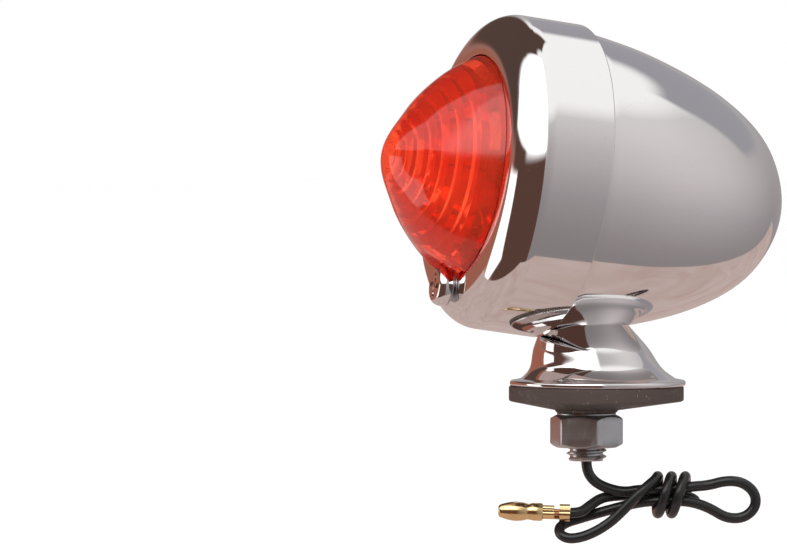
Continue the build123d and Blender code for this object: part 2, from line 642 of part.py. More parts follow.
# Pedestal: hollow cone on a flange, its top cut to the bowl
cone_outside = base_cone(0)
cone_inside = base_cone(PEDESTAL_WALL)
with BuildPart() as pedestal:
    add(cone_outside)
    with BuildSketch(Plane.XY.offset(FLANGE_UNDERSIDE)):
        with Locations((0, FLANGE_SHIFT)):
            Circle(FLANGE_RADIUS)
    extrude(amount=FLANGE_THICKNESS)
    with BuildSketch(Plane.XY.offset(FLANGE_TOP)):
        with Locations((0, FLANGE_SHIFT)):
            Circle(CONE_FOOT_RADIUS)
    extrude(amount=CONE_FOOT_HEIGHT - FLANGE_TOP)
    add(cone_inside, mode=Mode.SUBTRACT)
    with BuildSketch(Plane.XY.offset(FLANGE_UNDERSIDE)):
        with Locations((0, FLANGE_SHIFT)):
            Circle(CONE_FOOT_RADIUS - PEDESTAL_WALL)
    extrude(amount=CONE_FOOT_HEIGHT - FLANGE_UNDERSIDE, mode=Mode.SUBTRACT)
    add(head_envelope.part, mode=Mode.SUBTRACT)
save(pedestal, "pedestal")

# Rubber pad: disc with a coned underside and a boss that the nut's washer meets
with BuildPart() as rubber_pad:
    with BuildSketch(Plane.XY.offset(PAD_EDGE_LOW)):
        with Locations((0, PAD_SHIFT)):
            Circle(PAD_RADIUS)
    extrude(amount=FLANGE_UNDERSIDE - PAD_EDGE_LOW)
    fillet(rubber_pad.edges().group_by(Axis.Z)[0], radius=PAD_CORNER)
    with BuildSketch(Plane.XY.offset(PAD_EDGE_LOW)):
        with Locations((0, PAD_SHIFT)):
            Circle(PAD_RADIUS - PAD_CORNER)
    with BuildSketch(Plane.XY.offset(PAD_BOSS_LOW)):
        Circle(PAD_BOSS_RADIUS)
    loft()
    with BuildSketch(Plane.XY):
        Circle(PAD_BOSS_RADIUS)
    extrude(amount=FLANGE_UNDERSIDE)
    with BuildSketch(Plane.XY):
        Circle(STUD_RADIUS + HOLE_GAP)
    extrude(amount=FLANGE_UNDERSIDE, mode=Mode.SUBTRACT)
save(rubber_pad, "rubber_pad")

# Nut and its washer under the pad
with BuildPart() as nut_washer:
    with BuildSketch(Plane.XY):
        Circle(WASHER_RADIUS)
        Circle(STUD_RADIUS + THREAD_GAP, mode=Mode.SUBTRACT)
    extrude(amount=-WASHER_THICKNESS)
save(nut_washer, "nut_washer")


def hex_nut(top, height, turn):
    """A chamfered nut whose upper face is at top, one flat's normal turned from +X."""
    corner = NUT_ACROSS_FLATS / 2 / math.cos(math.pi / 6)
    drop = corner - NUT_CHAMFER_SHARE * NUT_ACROSS_FLATS / 2
    rise = drop * math.tan(math.pi / 6)
    with BuildPart() as nut:
        with BuildSketch(Plane.XY.offset(top)):
            RegularPolygon(NUT_ACROSS_FLATS / 2, 6, major_radius=False, rotation=turn - 30)
        extrude(amount=-height)
        with BuildSketch(BASE_PROFILE):
            with BuildLine():
                Polyline(
                    (0, top),
                    (corner - drop, top),
                    (corner, top - rise),
                    (corner, top - height + rise),
                    (corner - drop, top - height),
                    (0, top - height),
                    close=True,
                )
            make_face()
        revolve(axis=Axis.Z, mode=Mode.INTERSECT)
        with BuildSketch(Plane.XY.offset(top)):
            Circle(STUD_RADIUS + THREAD_GAP)
        extrude(amount=-height, mode=Mode.SUBTRACT)
    return nut


stud_nut = hex_nut(-WASHER_THICKNESS, NUT_HEIGHT, NUT_TURN)
save(stud_nut, "stud_nut")

# Inside the bowl: shaped washer on its floor, bulb holder's bracket, and the nut that holds both
with BuildPart() as saddle_washer:
    with BuildSketch(Plane.XY.offset(SADDLE_WASHER_TOP)):
        Circle(SADDLE_WASHER_RADIUS)
        Circle(STUD_RADIUS + HOLE_GAP, mode=Mode.SUBTRACT)
    extrude(amount=SADDLE_HEIGHT - SADDLE_WASHER_TOP)
    add(head_cavity.part, mode=Mode.INTERSECT)
save(saddle_washer, "saddle_washer")

with BuildPart() as socket_bracket:
    foot_length = BRACKET_WEB_BACK - BRACKET_FOOT_FRONT
    with BuildSketch(Plane.XY.offset(SADDLE_WASHER_TOP)):
        with Locations((0, BRACKET_FOOT_FRONT + foot_length / 2)):
            Rectangle(BRACKET_WIDTH, foot_length)
        Circle(STUD_RADIUS + HOLE_GAP, mode=Mode.SUBTRACT)
    extrude(amount=BRACKET_THICKNESS)
    with BuildSketch(Plane.XY.offset(SADDLE_WASHER_TOP)):
        with Locations((0, BRACKET_WEB_BACK - BRACKET_THICKNESS / 2)):
            Rectangle(BRACKET_WIDTH, BRACKET_THICKNESS)
    extrude(amount=AXIS_HEIGHT - SADDLE_WASHER_TOP)
    with BuildSketch(Plane.XZ.offset(-BRACKET_WEB_BACK)):
        with Locations((0, BRACKET_EYE_HEIGHT)):
            Circle(BRACKET_EYE_RADIUS)
    extrude(amount=2 * BRACKET_THICKNESS, both=True, mode=Mode.SUBTRACT)
    with BuildSketch(HEAD.offset(SOCKET_BACK)):
        Circle(SOCKET_RADIUS)
    extrude(amount=SOCKET_LENGTH, mode=Mode.SUBTRACT)
    add(head_cavity.part, mode=Mode.INTERSECT)
save(socket_bracket, "socket_bracket")

inner_nut = hex_nut(SADDLE_WASHER_TOP + BRACKET_THICKNESS + INNER_NUT_HEIGHT, INNER_NUT_HEIGHT, INNER_NUT_TURN)
save(inner_nut, "inner_nut")

# Lead: round wire on straight runs and tangent arcs
lead_routes = {
    "lead_drop": [lead_point(place) for place in LEAD_DROP],
    "lead_right_loop": [lead_point(place) for place in LEAD_RIGHT_LOOP],
    "lead_left_loop": [lead_point(place) for place in LEAD_LEFT_LOOP],
    "lead_tail": [lead_point(place) for place in LEAD_TAIL],
    "inner_lead": [Vector(place) for place in INNER_LEAD],
}
for route_name, route in lead_routes.items():
    with BuildPart() as tube:
        with BuildLine() as tube_line:
            FilletPolyline(*route, radius=route_radii(route, route_name))
        with BuildSketch(Plane(origin=route[0], z_dir=route[1] - route[0])):
            Circle(LEAD_RADIUS)
        sweep(path=tube_line.line)
    tube_length = tube_line.wires()[0].length
    volume_share = tube.part.volume / (math.pi * LEAD_RADIUS**2 * tube_length)
    print(route_name, "length", round(tube_length, 1), "volume share", round(volume_share, 4))
    save(tube, route_name)

wrap_face = Plane(lead_point((WRAP_START, WRAP_HEIGHT, 0)), z_dir=lead_along)
with BuildPart() as lead_wraps:
    with BuildSketch(wrap_face):
        Circle(WRAP_RADIUS)
    extrude(amount=WRAP_END - WRAP_START)
save(lead_wraps, "lead_wraps")

# Bullet connector: rolled tip, collar and two crimp barrels on one axis
connector_end = lead_routes["lead_tail"][-1]
connector_tip = lead_point(CONNECTOR_TIP)
connector_axis = Axis(connector_end, connector_tip - connector_end)
CONNECTOR = Plane(origin=connector_end, x_dir=connector_axis.direction, z_dir=lead_near)
with BuildPart() as bullet_connector:
    with BuildSketch(CONNECTOR):
        with BuildLine():
            tip = CONNECTOR_LENGTH
            Polyline(
                (0, LEAD_RADIUS),
                (0, INSULATION_CRIMP_RADIUS),
                (INSULATION_CRIMP_END, INSULATION_CRIMP_RADIUS),
                (CRIMP_START, CRIMP_RADIUS),
                (CRIMP_END, CRIMP_RADIUS),
                (COLLAR_START, COLLAR_RADIUS),
                (COLLAR_END, COLLAR_RADIUS),
                (BULLET_NECK_START, BULLET_NECK_RADIUS),
                (BULLET_NECK_END, BULLET_NECK_RADIUS),
                (tip - BULLET_TIP_LENGTH, BULLET_RADIUS),
            )
            Spline(
                (tip - BULLET_TIP_LENGTH, BULLET_RADIUS),
                (tip, BULLET_TIP_RADIUS),
                tangents=[(1, 0), (0.6, -1)],
            )
            Polyline((tip, BULLET_TIP_RADIUS), (tip, 0), (CRIMP_END, 0), (CRIMP_END, LEAD_RADIUS), (0, LEAD_RADIUS))
        make_face()
    revolve(axis=connector_axis)
save(bullet_connector, "bullet_connector")

with BuildPart() as wire_strands:
    with BuildSketch(Plane(origin=connector_end, z_dir=connector_axis.direction)):
        Circle(STRAND_RADIUS)
    extrude(amount=STRAND_LENGTH)
save(wire_strands, "wire_strands")
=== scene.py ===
"""Finished surfaces for a chrome motorcycle turn signal with a red lens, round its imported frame."""
import json
import math

import bmesh
import bpy
from mathutils import Matrix, Vector
from mathutils.geometry import interpolate_bezier


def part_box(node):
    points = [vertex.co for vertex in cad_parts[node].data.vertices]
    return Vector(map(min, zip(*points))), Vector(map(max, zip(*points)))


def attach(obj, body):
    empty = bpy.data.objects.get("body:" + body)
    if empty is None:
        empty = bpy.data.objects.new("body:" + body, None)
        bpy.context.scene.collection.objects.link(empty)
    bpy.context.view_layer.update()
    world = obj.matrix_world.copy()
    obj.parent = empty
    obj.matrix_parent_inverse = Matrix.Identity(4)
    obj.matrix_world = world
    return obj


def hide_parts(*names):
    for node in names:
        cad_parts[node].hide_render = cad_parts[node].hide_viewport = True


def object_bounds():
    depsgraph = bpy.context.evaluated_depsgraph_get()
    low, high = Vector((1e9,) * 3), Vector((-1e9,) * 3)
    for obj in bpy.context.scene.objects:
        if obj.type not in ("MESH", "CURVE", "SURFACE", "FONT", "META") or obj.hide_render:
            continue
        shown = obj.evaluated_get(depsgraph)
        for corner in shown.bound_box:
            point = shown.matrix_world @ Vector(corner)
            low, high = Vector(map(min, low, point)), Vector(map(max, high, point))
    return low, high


bl_info = {
    "name": "Turn Signal Looks",
    "version": (1, 0, 0),
    "blender": (4, 5, 0),
    "location": "View3D > Sidebar > Turn Signal",
    "description": "Builds the visible skin of a stud-mounted turn signal around its CAD frame",
    "category": "Object",
}

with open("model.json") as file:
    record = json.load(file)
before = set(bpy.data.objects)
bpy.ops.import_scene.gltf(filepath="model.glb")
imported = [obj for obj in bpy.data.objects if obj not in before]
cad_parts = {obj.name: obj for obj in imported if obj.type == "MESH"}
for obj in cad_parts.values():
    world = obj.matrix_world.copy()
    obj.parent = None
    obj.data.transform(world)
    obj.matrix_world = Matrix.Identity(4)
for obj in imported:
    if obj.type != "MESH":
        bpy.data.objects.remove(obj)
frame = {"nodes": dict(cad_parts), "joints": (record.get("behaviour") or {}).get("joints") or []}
cad_low, cad_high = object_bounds()

MM = 0.001
MERGE_REACH = 0.002  # points nearer to each other than this, in mm, become one
UP = Vector((0, 0, 1))
STUD = Vector((0, 0, 0))


def joint_named(name):
    """The frame's joint of that name."""
    return next(joint for joint in frame["joints"] if joint["name"] == name)


# The lamp's own axes, read from the joints that carry them
FORWARD = Vector(joint_named("bezel_pull")["axis"]).normalized()
LAMP = Vector(joint_named("bulb_turn")["pos_m"])
SCREW = Vector(joint_named("screw_turn")["pos_m"])
RISE = Vector((1, 0, 0)).cross(-FORWARD).normalized()
ACROSS = Vector((1, 0, 0))
SCREW_DROP = (LAMP - SCREW).length / MM


def forward_reach(node, front=True):
    """How far forward of the stud's axis a node reaches along the lamp's axis, in mm."""
    reaches = [(vertex.co - LAMP).dot(FORWARD) / MM for vertex in frame["nodes"][node].data.vertices]
    return max(reaches) if front else min(reaches)


def widest(node):
    """Greatest distance of a node's points from the lamp's axis, in mm."""
    spans = [(vertex.co - LAMP).cross(FORWARD).length / MM for vertex in frame["nodes"][node].data.vertices]
    return max(spans)


# Mesh tools -------------------------------------------------------------------------------------


def smooth_line(points, first, last, steps):
    """Points on a smooth line through the given ones, leaving along first and arriving along last."""
    knots = [Vector(point) for point in points]
    headings = [Vector(first).normalized()]
    for before, after in zip(knots, knots[2:]):
        headings.append((after - before).normalized())
    headings.append(Vector(last).normalized())
    line = []
    for index, (here, there) in enumerate(zip(knots, knots[1:])):
        reach = (there - here).length / 3
        handle_out = here + headings[index] * reach
        handle_in = there - headings[index + 1] * reach
        line.extend(interpolate_bezier(here, handle_out, handle_in, there, steps)[:-1])
    return [(point[0], point[1]) for point in line] + [tuple(knots[-1])]


def arc_line(centre, radii, start, end, steps):
    """Points on part of an ellipse in the half section, angles in degrees from the axis direction."""
    line = []
    for index in range(steps + 1):
        angle = math.radians(start + (end - start) * index / steps)
        line.append((centre[0] + radii[0] * math.cos(angle), centre[1] + radii[1] * math.sin(angle)))
    return line


def supported(section, closed, reach=0.12, longest=4.0):
    """The section with a point near each end of its long lines, so that smooth shading stays even."""
    made = []
    for start, end in zip(section, section[1:] + section[:1]):
        made.append(start)
        length = math.dist(start, end)
        if length > longest and (closed or end is not section[0]):
            for share in (reach / length, 1 - reach / length):
                made.append(tuple(first + (last - first) * share for first, last in zip(start, end)))
    return made


def turned(section, centre, axis, out, steps=128, closed=False):
    """A half section of (along, radius) points in mm, spun once round an axis."""
    mesh = bmesh.new()
    section = supported(section, closed)
    line = [mesh.verts.new(centre + (axis * along + out * radius) * MM) for along, radius in section]
    edges = [mesh.edges.new(pair) for pair in zip(line, line[1:])]
    if closed:
        edges.append(mesh.edges.new((line[-1], line[0])))
    bmesh.ops.spin(
        mesh, geom=line + edges, cent=centre, axis=axis, angle=math.tau, steps=steps, use_merge=True
    )
    bmesh.ops.remove_doubles(mesh, verts=mesh.verts, dist=MERGE_REACH * MM)
    bmesh.ops.recalc_face_normals(mesh, faces=mesh.faces)
    return mesh


def soften(mesh, width, angle=35, segments=2):
    """Round the edges that turn more than an angle in degrees."""
    sharp = [edge for edge in mesh.edges if len(edge.link_faces) == 2
             and edge.calc_face_angle() > math.radians(angle)]
    bmesh.ops.bevel(
        mesh, geom=sharp, offset=width * MM, offset_type="OFFSET", affect="EDGES", segments=segments,
        profile=0.5, material=-1, clamp_overlap=True,
    )


def linked(name, mesh, *materials):
    """An object in the scene, made from a bmesh."""
    data = bpy.data.meshes.new(name)
    mesh.to_mesh(data)
    mesh.free()
    for material in materials:
        data.materials.append(material)
    thing = bpy.data.objects.new(name, data)
    bpy.context.scene.collection.objects.link(thing)
    return thing


def piece(name, mesh, finish, body, nodes=(), crease=50):
    """A smoothly shaded piece that rides on a body, crisp where faces turn by more than crease degrees."""
    thing = linked(name, mesh, finish_named(finish))
    thing.data.shade_smooth()
    if crease:
        thing.data.set_sharp_from_angle(angle=math.radians(crease))
    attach(thing, body)
    if nodes:
        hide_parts(*nodes)
    return thing


def polar(point):
    """A point's distance along, distance from, and turn round the lamp's axis, bottom at zero turn."""
    offset = (point - LAMP) / MM
    along = offset.dot(FORWARD)
    side = offset.dot(ACROSS)
    height = offset.dot(RISE)
    return along, math.hypot(side, height), math.atan2(side, -height)


def lamp_point(along, radius, turn):
    """The reverse of polar."""
    return LAMP + (FORWARD * along + ACROSS * radius * math.sin(turn) - RISE * radius * math.cos(turn)) * MM


# Node tools -------------------------------------------------------------------------------------


def add_node(tree, kind, inputs=None, **settings):
    """A node with its settings and its inputs, each a value or another node's output."""
    made = tree.nodes.new(kind)
    for key, value in settings.items():
        setattr(made, key, value)
    for key, value in (inputs or {}).items():
        if isinstance(value, bpy.types.NodeSocket):
            tree.links.new(value, made.inputs[key])
        else:
            made.inputs[key].default_value = value
    return made


def math_node(tree, operation, *values, clamp=False):
    """A Math node's output."""
    made = add_node(tree, "ShaderNodeMath", dict(enumerate(values)), operation=operation, use_clamp=clamp)
    return made.outputs[0]


def mix_colour(tree, share, first, second, blend="MIX"):
    """A Mix node's colour output."""
    made = tree.nodes.new("ShaderNodeMix")
    made.data_type = "RGBA"
    made.blend_type = blend
    for key, value in ((0, share), (6, first), (7, second)):
        if isinstance(value, bpy.types.NodeSocket):
            tree.links.new(value, made.inputs[key])
        else:
            made.inputs[key].default_value = value
    return made.outputs[2]


def effect_group(name, inputs, outputs):
    """An empty shader group with named number sockets."""
    group = bpy.data.node_groups.new(name, "ShaderNodeTree")
    for label, default in inputs.items():
        socket = group.interface.new_socket(label, in_out="INPUT", socket_type="NodeSocketFloat")
        socket.default_value = default
    for label in outputs:
        group.interface.new_socket(label, in_out="OUTPUT", socket_type="NodeSocketFloat")
    return group, group.nodes.new("NodeGroupInput"), group.nodes.new("NodeGroupOutput")


GRIT_FINENESS = 6.0  # how many times finer the grit is than the haze
SPECK_SIZE = 0.16  # share of a speck's cell
SPECK_CALM = 0.56  # level of haze under which there are no specks


def surface_grain_group():
    """Fine uneven gloss and specks that every plated or moulded surface has."""
    group, start, end = effect_group(
        "surface_grain", {"Scale": 400.0, "Low": 0.02, "High": 0.08, "Specks": 0.3},
        ("Roughness", "Height", "Speck"),
    )
    place = add_node(group, "ShaderNodeTexCoord").outputs["Object"]
    haze = add_node(group, "ShaderNodeTexNoise", {
        "Vector": place, "Scale": start.outputs["Scale"], "Detail": 4.0, "Roughness": 0.55})
    fine = math_node(group, "MULTIPLY", start.outputs["Scale"], GRIT_FINENESS)
    grit = add_node(group, "ShaderNodeTexNoise", {
        "Vector": place, "Scale": fine, "Detail": 2.0, "Roughness": 0.6})
    span = math_node(group, "SUBTRACT", start.outputs["High"], start.outputs["Low"])
    level = math_node(group, "MULTIPLY_ADD", haze.outputs["Fac"], span, start.outputs["Low"])
    dots = add_node(group, "ShaderNodeTexVoronoi", {"Vector": place, "Scale": fine, "Randomness": 1.0})
    near = math_node(group, "LESS_THAN", dots.outputs["Distance"], SPECK_SIZE)
    rare = math_node(group, "GREATER_THAN", haze.outputs["Fac"], SPECK_CALM)
    speck = math_node(group, "MULTIPLY", math_node(group, "MULTIPLY", near, rare), start.outputs["Specks"])
    group.links.new(math_node(group, "ADD", level, speck, clamp=True), end.inputs["Roughness"])
    group.links.new(grit.outputs["Fac"], end.inputs["Height"])
    group.links.new(speck, end.inputs["Speck"])
    return group


def new_material(name):
    """A material with its own Principled surface."""
    made = bpy.data.materials.new(name)
    made.use_nodes = True
    surface = made.node_tree.nodes["Principled BSDF"]
    return made, made.node_tree, surface


def grained(tree, surface, scale, low, high, specks, bump, depth):
    """Give a surface the shared grain: roughness, specks and a slight bump."""
    grain = add_node(tree, "ShaderNodeGroup")
    grain.node_tree = bpy.data.node_groups.get("surface_grain") or surface_grain_group()
    for label, value in (("Scale", scale), ("Low", low), ("High", high), ("Specks", specks)):
        grain.inputs[label].default_value = value
    tree.links.new(grain.outputs["Roughness"], surface.inputs["Roughness"])
    dent = add_node(tree, "ShaderNodeBump", {
        "Height": grain.outputs["Height"], "Strength": bump, "Distance": depth * MM})
    tree.links.new(dent.outputs["Normal"], surface.inputs["Normal"])
    return grain


# Materials --------------------------------------------------------------------------------------


DULL_SHARE = 0.55  # colour of specks and streaks against the clean metal
STREAK_COARSENESS = 0.35  # streaks' scale against the grain's
RUBBER_GRAIN = 520.0


def plated(name, colour, low, high, bump=0.02, scale=260.0, specks=0.25, depth=0.02, streak=0.0):
    """Bare or plated metal."""
    made, tree, surface = new_material(name)
    grain = grained(tree, surface, scale, low, high, specks, bump, depth)
    surface.inputs["Metallic"].default_value = 1.0
    dull = [level * DULL_SHARE for level in colour]
    place = add_node(tree, "ShaderNodeTexCoord").outputs["Object"]
    patch = add_node(tree, "ShaderNodeTexNoise", {
        "Vector": place, "Scale": scale * STREAK_COARSENESS, "Detail": 5.0})
    share = math_node(tree, "MULTIPLY_ADD", patch.outputs["Fac"], streak, grain.outputs["Speck"], clamp=True)
    tint = mix_colour(tree, share, (*colour, 1), (*dull, 1))
    tree.links.new(tint, surface.inputs["Base Color"])
    return made


def rubbery(name, colour, speck_colour, low, high, bump, specks, coat):
    """Moulded rubber or vinyl with dust specks."""
    made, tree, surface = new_material(name)
    grain = grained(tree, surface, RUBBER_GRAIN, low, high, specks, bump, 0.05)
    tint = mix_colour(tree, grain.outputs["Speck"], (*colour, 1), (*speck_colour, 1))
    tree.links.new(tint, surface.inputs["Base Color"])
    surface.inputs["Coat Weight"].default_value = coat
    surface.inputs["Coat Roughness"].default_value = 0.25
    surface.inputs["Specular IOR Level"].default_value = 0.4
    return made


def lit_through(tree, surface, colour):
    """Let a tinted light pass a clear surface in place of its shadow."""
    through = add_node(tree, "ShaderNodeBsdfTransparent", {"Color": (*colour, 1)})
    rays = add_node(tree, "ShaderNodeLightPath")
    blend = add_node(tree, "ShaderNodeMixShader", {
        0: rays.outputs["Is Shadow Ray"], 1: surface.outputs[0], 2: through.outputs[0]})
    tree.links.new(blend.outputs[0], tree.nodes["Material Output"].inputs["Surface"])


def red_acrylic():
    """Clear red lens plastic: saturated in depth, with a polished face, its tint patched at random from deep
    red to orange, partly faint marks where the plastic flowed and partly painted orange glints.
    """
    made, tree, surface = new_material("red_acrylic")
    grained(tree, surface, 180.0, 0.015, 0.05, 0.15, 0.03, 0.03)
    place = add_node(tree, "ShaderNodeTexCoord").outputs["Object"]
    # Painted glints: the orange end of this noise stands in partly for orange glints at the rings' edges, and
    # partly for marks where the plastic flowed.
    flow_and_glints = add_node(tree, "ShaderNodeTexNoise", {"Vector": place, "Scale": 130.0, "Detail": 3.0})
    tint = mix_colour(tree, flow_and_glints.outputs["Fac"], (0.68, 0.036, 0.022, 1), (0.88, 0.11, 0.034, 1))
    tree.links.new(tint, surface.inputs["Base Color"])
    surface.inputs["Transmission Weight"].default_value = 0.86
    surface.inputs["IOR"].default_value = 1.49
    lit_through(tree, surface, (1.0, 0.16, 0.08))
    return made


def clear_glass():
    """Thin blown glass of the bulb."""
    made, tree, surface = new_material("clear_glass")
    grained(tree, surface, 90.0, 0.0, 0.02, 0.05, 0.01, 0.02)
    surface.inputs["Base Color"].default_value = (0.95, 0.98, 0.97, 1)
    surface.inputs["Transmission Weight"].default_value = 1.0
    surface.inputs["IOR"].default_value = 1.45
    lit_through(tree, surface, (0.95, 0.97, 0.97))
    return made


# Metals: colour or the setting that holds it, roughness from and to, and what differs from plain plating
METALS = {
    "chrome": ("chrome", 0.03, 0.07, {"bump": 0.012, "scale": 150.0, "specks": 0.1}),
    "zinc": ("zinc", 0.26, 0.46, {"bump": 0.8, "scale": 520.0, "specks": 0.3, "streak": 0.5}),
    "thread_steel": ((0.60, 0.60, 0.61), 0.18, 0.35, {"bump": 0.2, "scale": 500.0, "streak": 0.7}),
    "sheet_steel": ((0.60, 0.60, 0.58), 0.25, 0.45, {"bump": 0.15, "scale": 300.0, "streak": 0.4}),
    "silvered": ((0.86, 0.86, 0.87), 0.10, 0.18, {"bump": 0.03, "scale": 200.0}),
    "brass": ("brass", 0.12, 0.28, {"bump": 0.08, "scale": 500.0, "streak": 0.35}),
    "copper": ((0.78, 0.42, 0.22), 0.2, 0.35, {"bump": 0.1, "scale": 700.0, "streak": 0.4}),
    "spring_wire": ((0.40, 0.40, 0.42), 0.2, 0.35, {"bump": 0.1, "scale": 500.0}),
    "solder": ((0.55, 0.55, 0.57), 0.35, 0.5, {"bump": 0.3, "scale": 600.0}),
    "tungsten": ((0.20, 0.20, 0.21), 0.3, 0.5, {"bump": 0.4, "scale": 900.0}),
}
# Rubbers and plastics: colour or its setting, speck colour, roughness from and to, bump, specks, coat
RUBBERS = {
    "pad_rubber": ("pad", (0.60, 0.50, 0.40), 0.45, 0.7, 0.6, 1.0, 0.0),
    "seal_rubber": ((0.02, 0.02, 0.02), (0.1, 0.1, 0.1), 0.5, 0.7, 0.4, 0.3, 0.0),
    "vinyl": ("lead", (0.05, 0.05, 0.05), 0.20, 0.34, 0.12, 0.3, 0.12),
    "fibre": ((0.28, 0.15, 0.08), (0.4, 0.28, 0.18), 0.6, 0.8, 0.6, 0.6, 0.0),
}
CLEAR = {"red_acrylic": red_acrylic, "clear_glass": clear_glass}
MATERIALS = {}


def new_finish(name):
    """Make the finish of that name."""
    if name in CLEAR:
        return CLEAR[name]()
    colour, *values = METALS.get(name) or RUBBERS[name]
    if isinstance(colour, str):
        colour = getattr(bpy.context.scene.turn_signal_finishes, colour)
    if name in METALS:
        low, high, differences = values
        return plated(name, colour, low, high, **differences)
    return rubbery(name, colour, *values)


def finish_named(name):
    """The finish of that name, made the first time it is asked for."""
    if name not in MATERIALS:
        MATERIALS[name] = new_finish(name)
    return MATERIALS[name]


# Lamp head --------------------------------------------------------------------------------------


# Bowl: share of its length back from the bezel, share of its mouth's radius
BOWL_SHARES = ((0.34, 0.90), (0.68, 0.697), (0.895, 0.428))
BOWL_START = (-1, -0.15)
# Lens: share of its height down from the tip, share of its rim, share of the wall that the hollow loses
DOME_SHARES = ((0.29, 0.485, 0.45), (0.64, 0.80, 0.75))
DOME_END = (-1, 0.6)
RING_RISE = 0.3  # share of each moulded ring's height that its slope takes
RING_SLOPE = 0.12  # width of that slope in mm
RING_REACH = 2.4  # a little over one ring's width in mm


def opening_edge(turn, opening, drop, lug, blend):
    """Radius of the bezel's opening at a turn from the bottom, where the screw's lug stands in it."""
    turn = abs(turn)
    centre = opening - blend
    reach = lug + blend
    centre_turn = math.acos((drop**2 + centre**2 - reach**2) / (2 * drop * centre))
    touch_side = lug * centre * math.sin(centre_turn) / reach
    touch_drop = drop - lug * (drop - centre * math.cos(centre_turn)) / reach
    touch_turn = math.atan2(touch_side, touch_drop)
    if turn >= centre_turn:
        return opening
    if turn > touch_turn:
        swing = centre_turn - turn
        return centre * math.cos(swing) + math.sqrt(max(0, blend**2 - (centre * math.sin(swing)) ** 2))
    return drop * math.cos(turn) - math.sqrt(max(0, lug**2 - (drop * math.sin(turn)) ** 2))


def scallop_limit(turn, drop, scallop):
    """How far out the lens may reach at a turn from the bottom, before the screw's scallop."""
    inside = scallop**2 - (drop * math.sin(turn)) ** 2
    if inside < 0 or abs(turn) > math.pi / 2:
        return math.inf
    return drop * math.cos(turn) - math.sqrt(inside)


class TURNSIGNAL_OT_housing(bpy.types.Operator):
    """Drawn bowl of the lamp's body, with a wall and a rolled mouth"""
    bl_idname = "turn_signal.housing"
    bl_label = "Housing"

    def execute(self, context):
        sizes = context.scene.turn_signal_sizes
        mouth_radius = widest("housing_shell")
        mouth = forward_reach("housing_shell")
        tail = -forward_reach("housing_shell", front=False)
        shoulder = forward_reach("bezel", front=False)
        length = shoulder + tail
        knots = [(shoulder, mouth_radius)]
        knots += [(shoulder - back * length, share * mouth_radius) for back, share in BOWL_SHARES]
        knots.append((-tail, 0))
        outer = smooth_line(knots, BOWL_START, (0, -1), 10)
        inner_knots = [(along + sizes.housing_wall * (along < 0), max(0, radius - sizes.housing_wall))
                       for along, radius in knots]
        inner = smooth_line(inner_knots, BOWL_START, (0, -1), 10)
        bevel = 0.15
        lip = [(mouth, inner[0][1]), (mouth, mouth_radius - bevel), (mouth - bevel, mouth_radius)]
        section = list(reversed(inner)) + lip + outer
        mesh = turned(section, LAMP, FORWARD, RISE)
        piece("bowl", mesh, "chrome", "lamp", ["housing_shell"])
        return {"FINISHED"}


class TURNSIGNAL_OT_bezel(bpy.types.Operator):
    """Chrome ring round the lens, with the lug that the screw passes through"""
    bl_idname = "turn_signal.bezel"
    bl_label = "Bezel"

    def execute(self, context):
        sizes = context.scene.turn_signal_sizes
        wall = sizes.bezel_wall
        rear = forward_reach("bezel", front=False)
        front = forward_reach("bezel")
        side = widest("bezel")
        corner = front - sizes.bezel_corner
        flat_end = sizes.opening_radius + sizes.lip_flat
        bevel = 0.2
        fillet = [(rear, side - wall), (rear, side - bevel), (rear + bevel, side)]
        outside = arc_line((corner, flat_end), (front - corner, side - flat_end), 90, 0, 24)
        inside = arc_line(
            (corner, flat_end), (front - wall - corner, side - wall - flat_end), 0, 90, 24)
        lip = [(front, sizes.opening_radius), (front - wall, sizes.opening_radius)]
        section = fillet + outside + lip + inside
        mesh = turned(section, LAMP, FORWARD, RISE, steps=256, closed=True)
        for vertex in mesh.verts:
            along, radius, turn = polar(vertex.co)
            if abs(radius - sizes.opening_radius) < 0.01:
                edge = opening_edge(
                    turn, sizes.opening_radius, SCREW_DROP, sizes.lug_radius, sizes.lug_blend)
                vertex.co = lamp_point(along, edge, turn)
        soften(mesh, 0.12, angle=60)
        piece("bezel_ring", mesh, "chrome", "bezel_unit", ["bezel"])
        return {"FINISHED"}


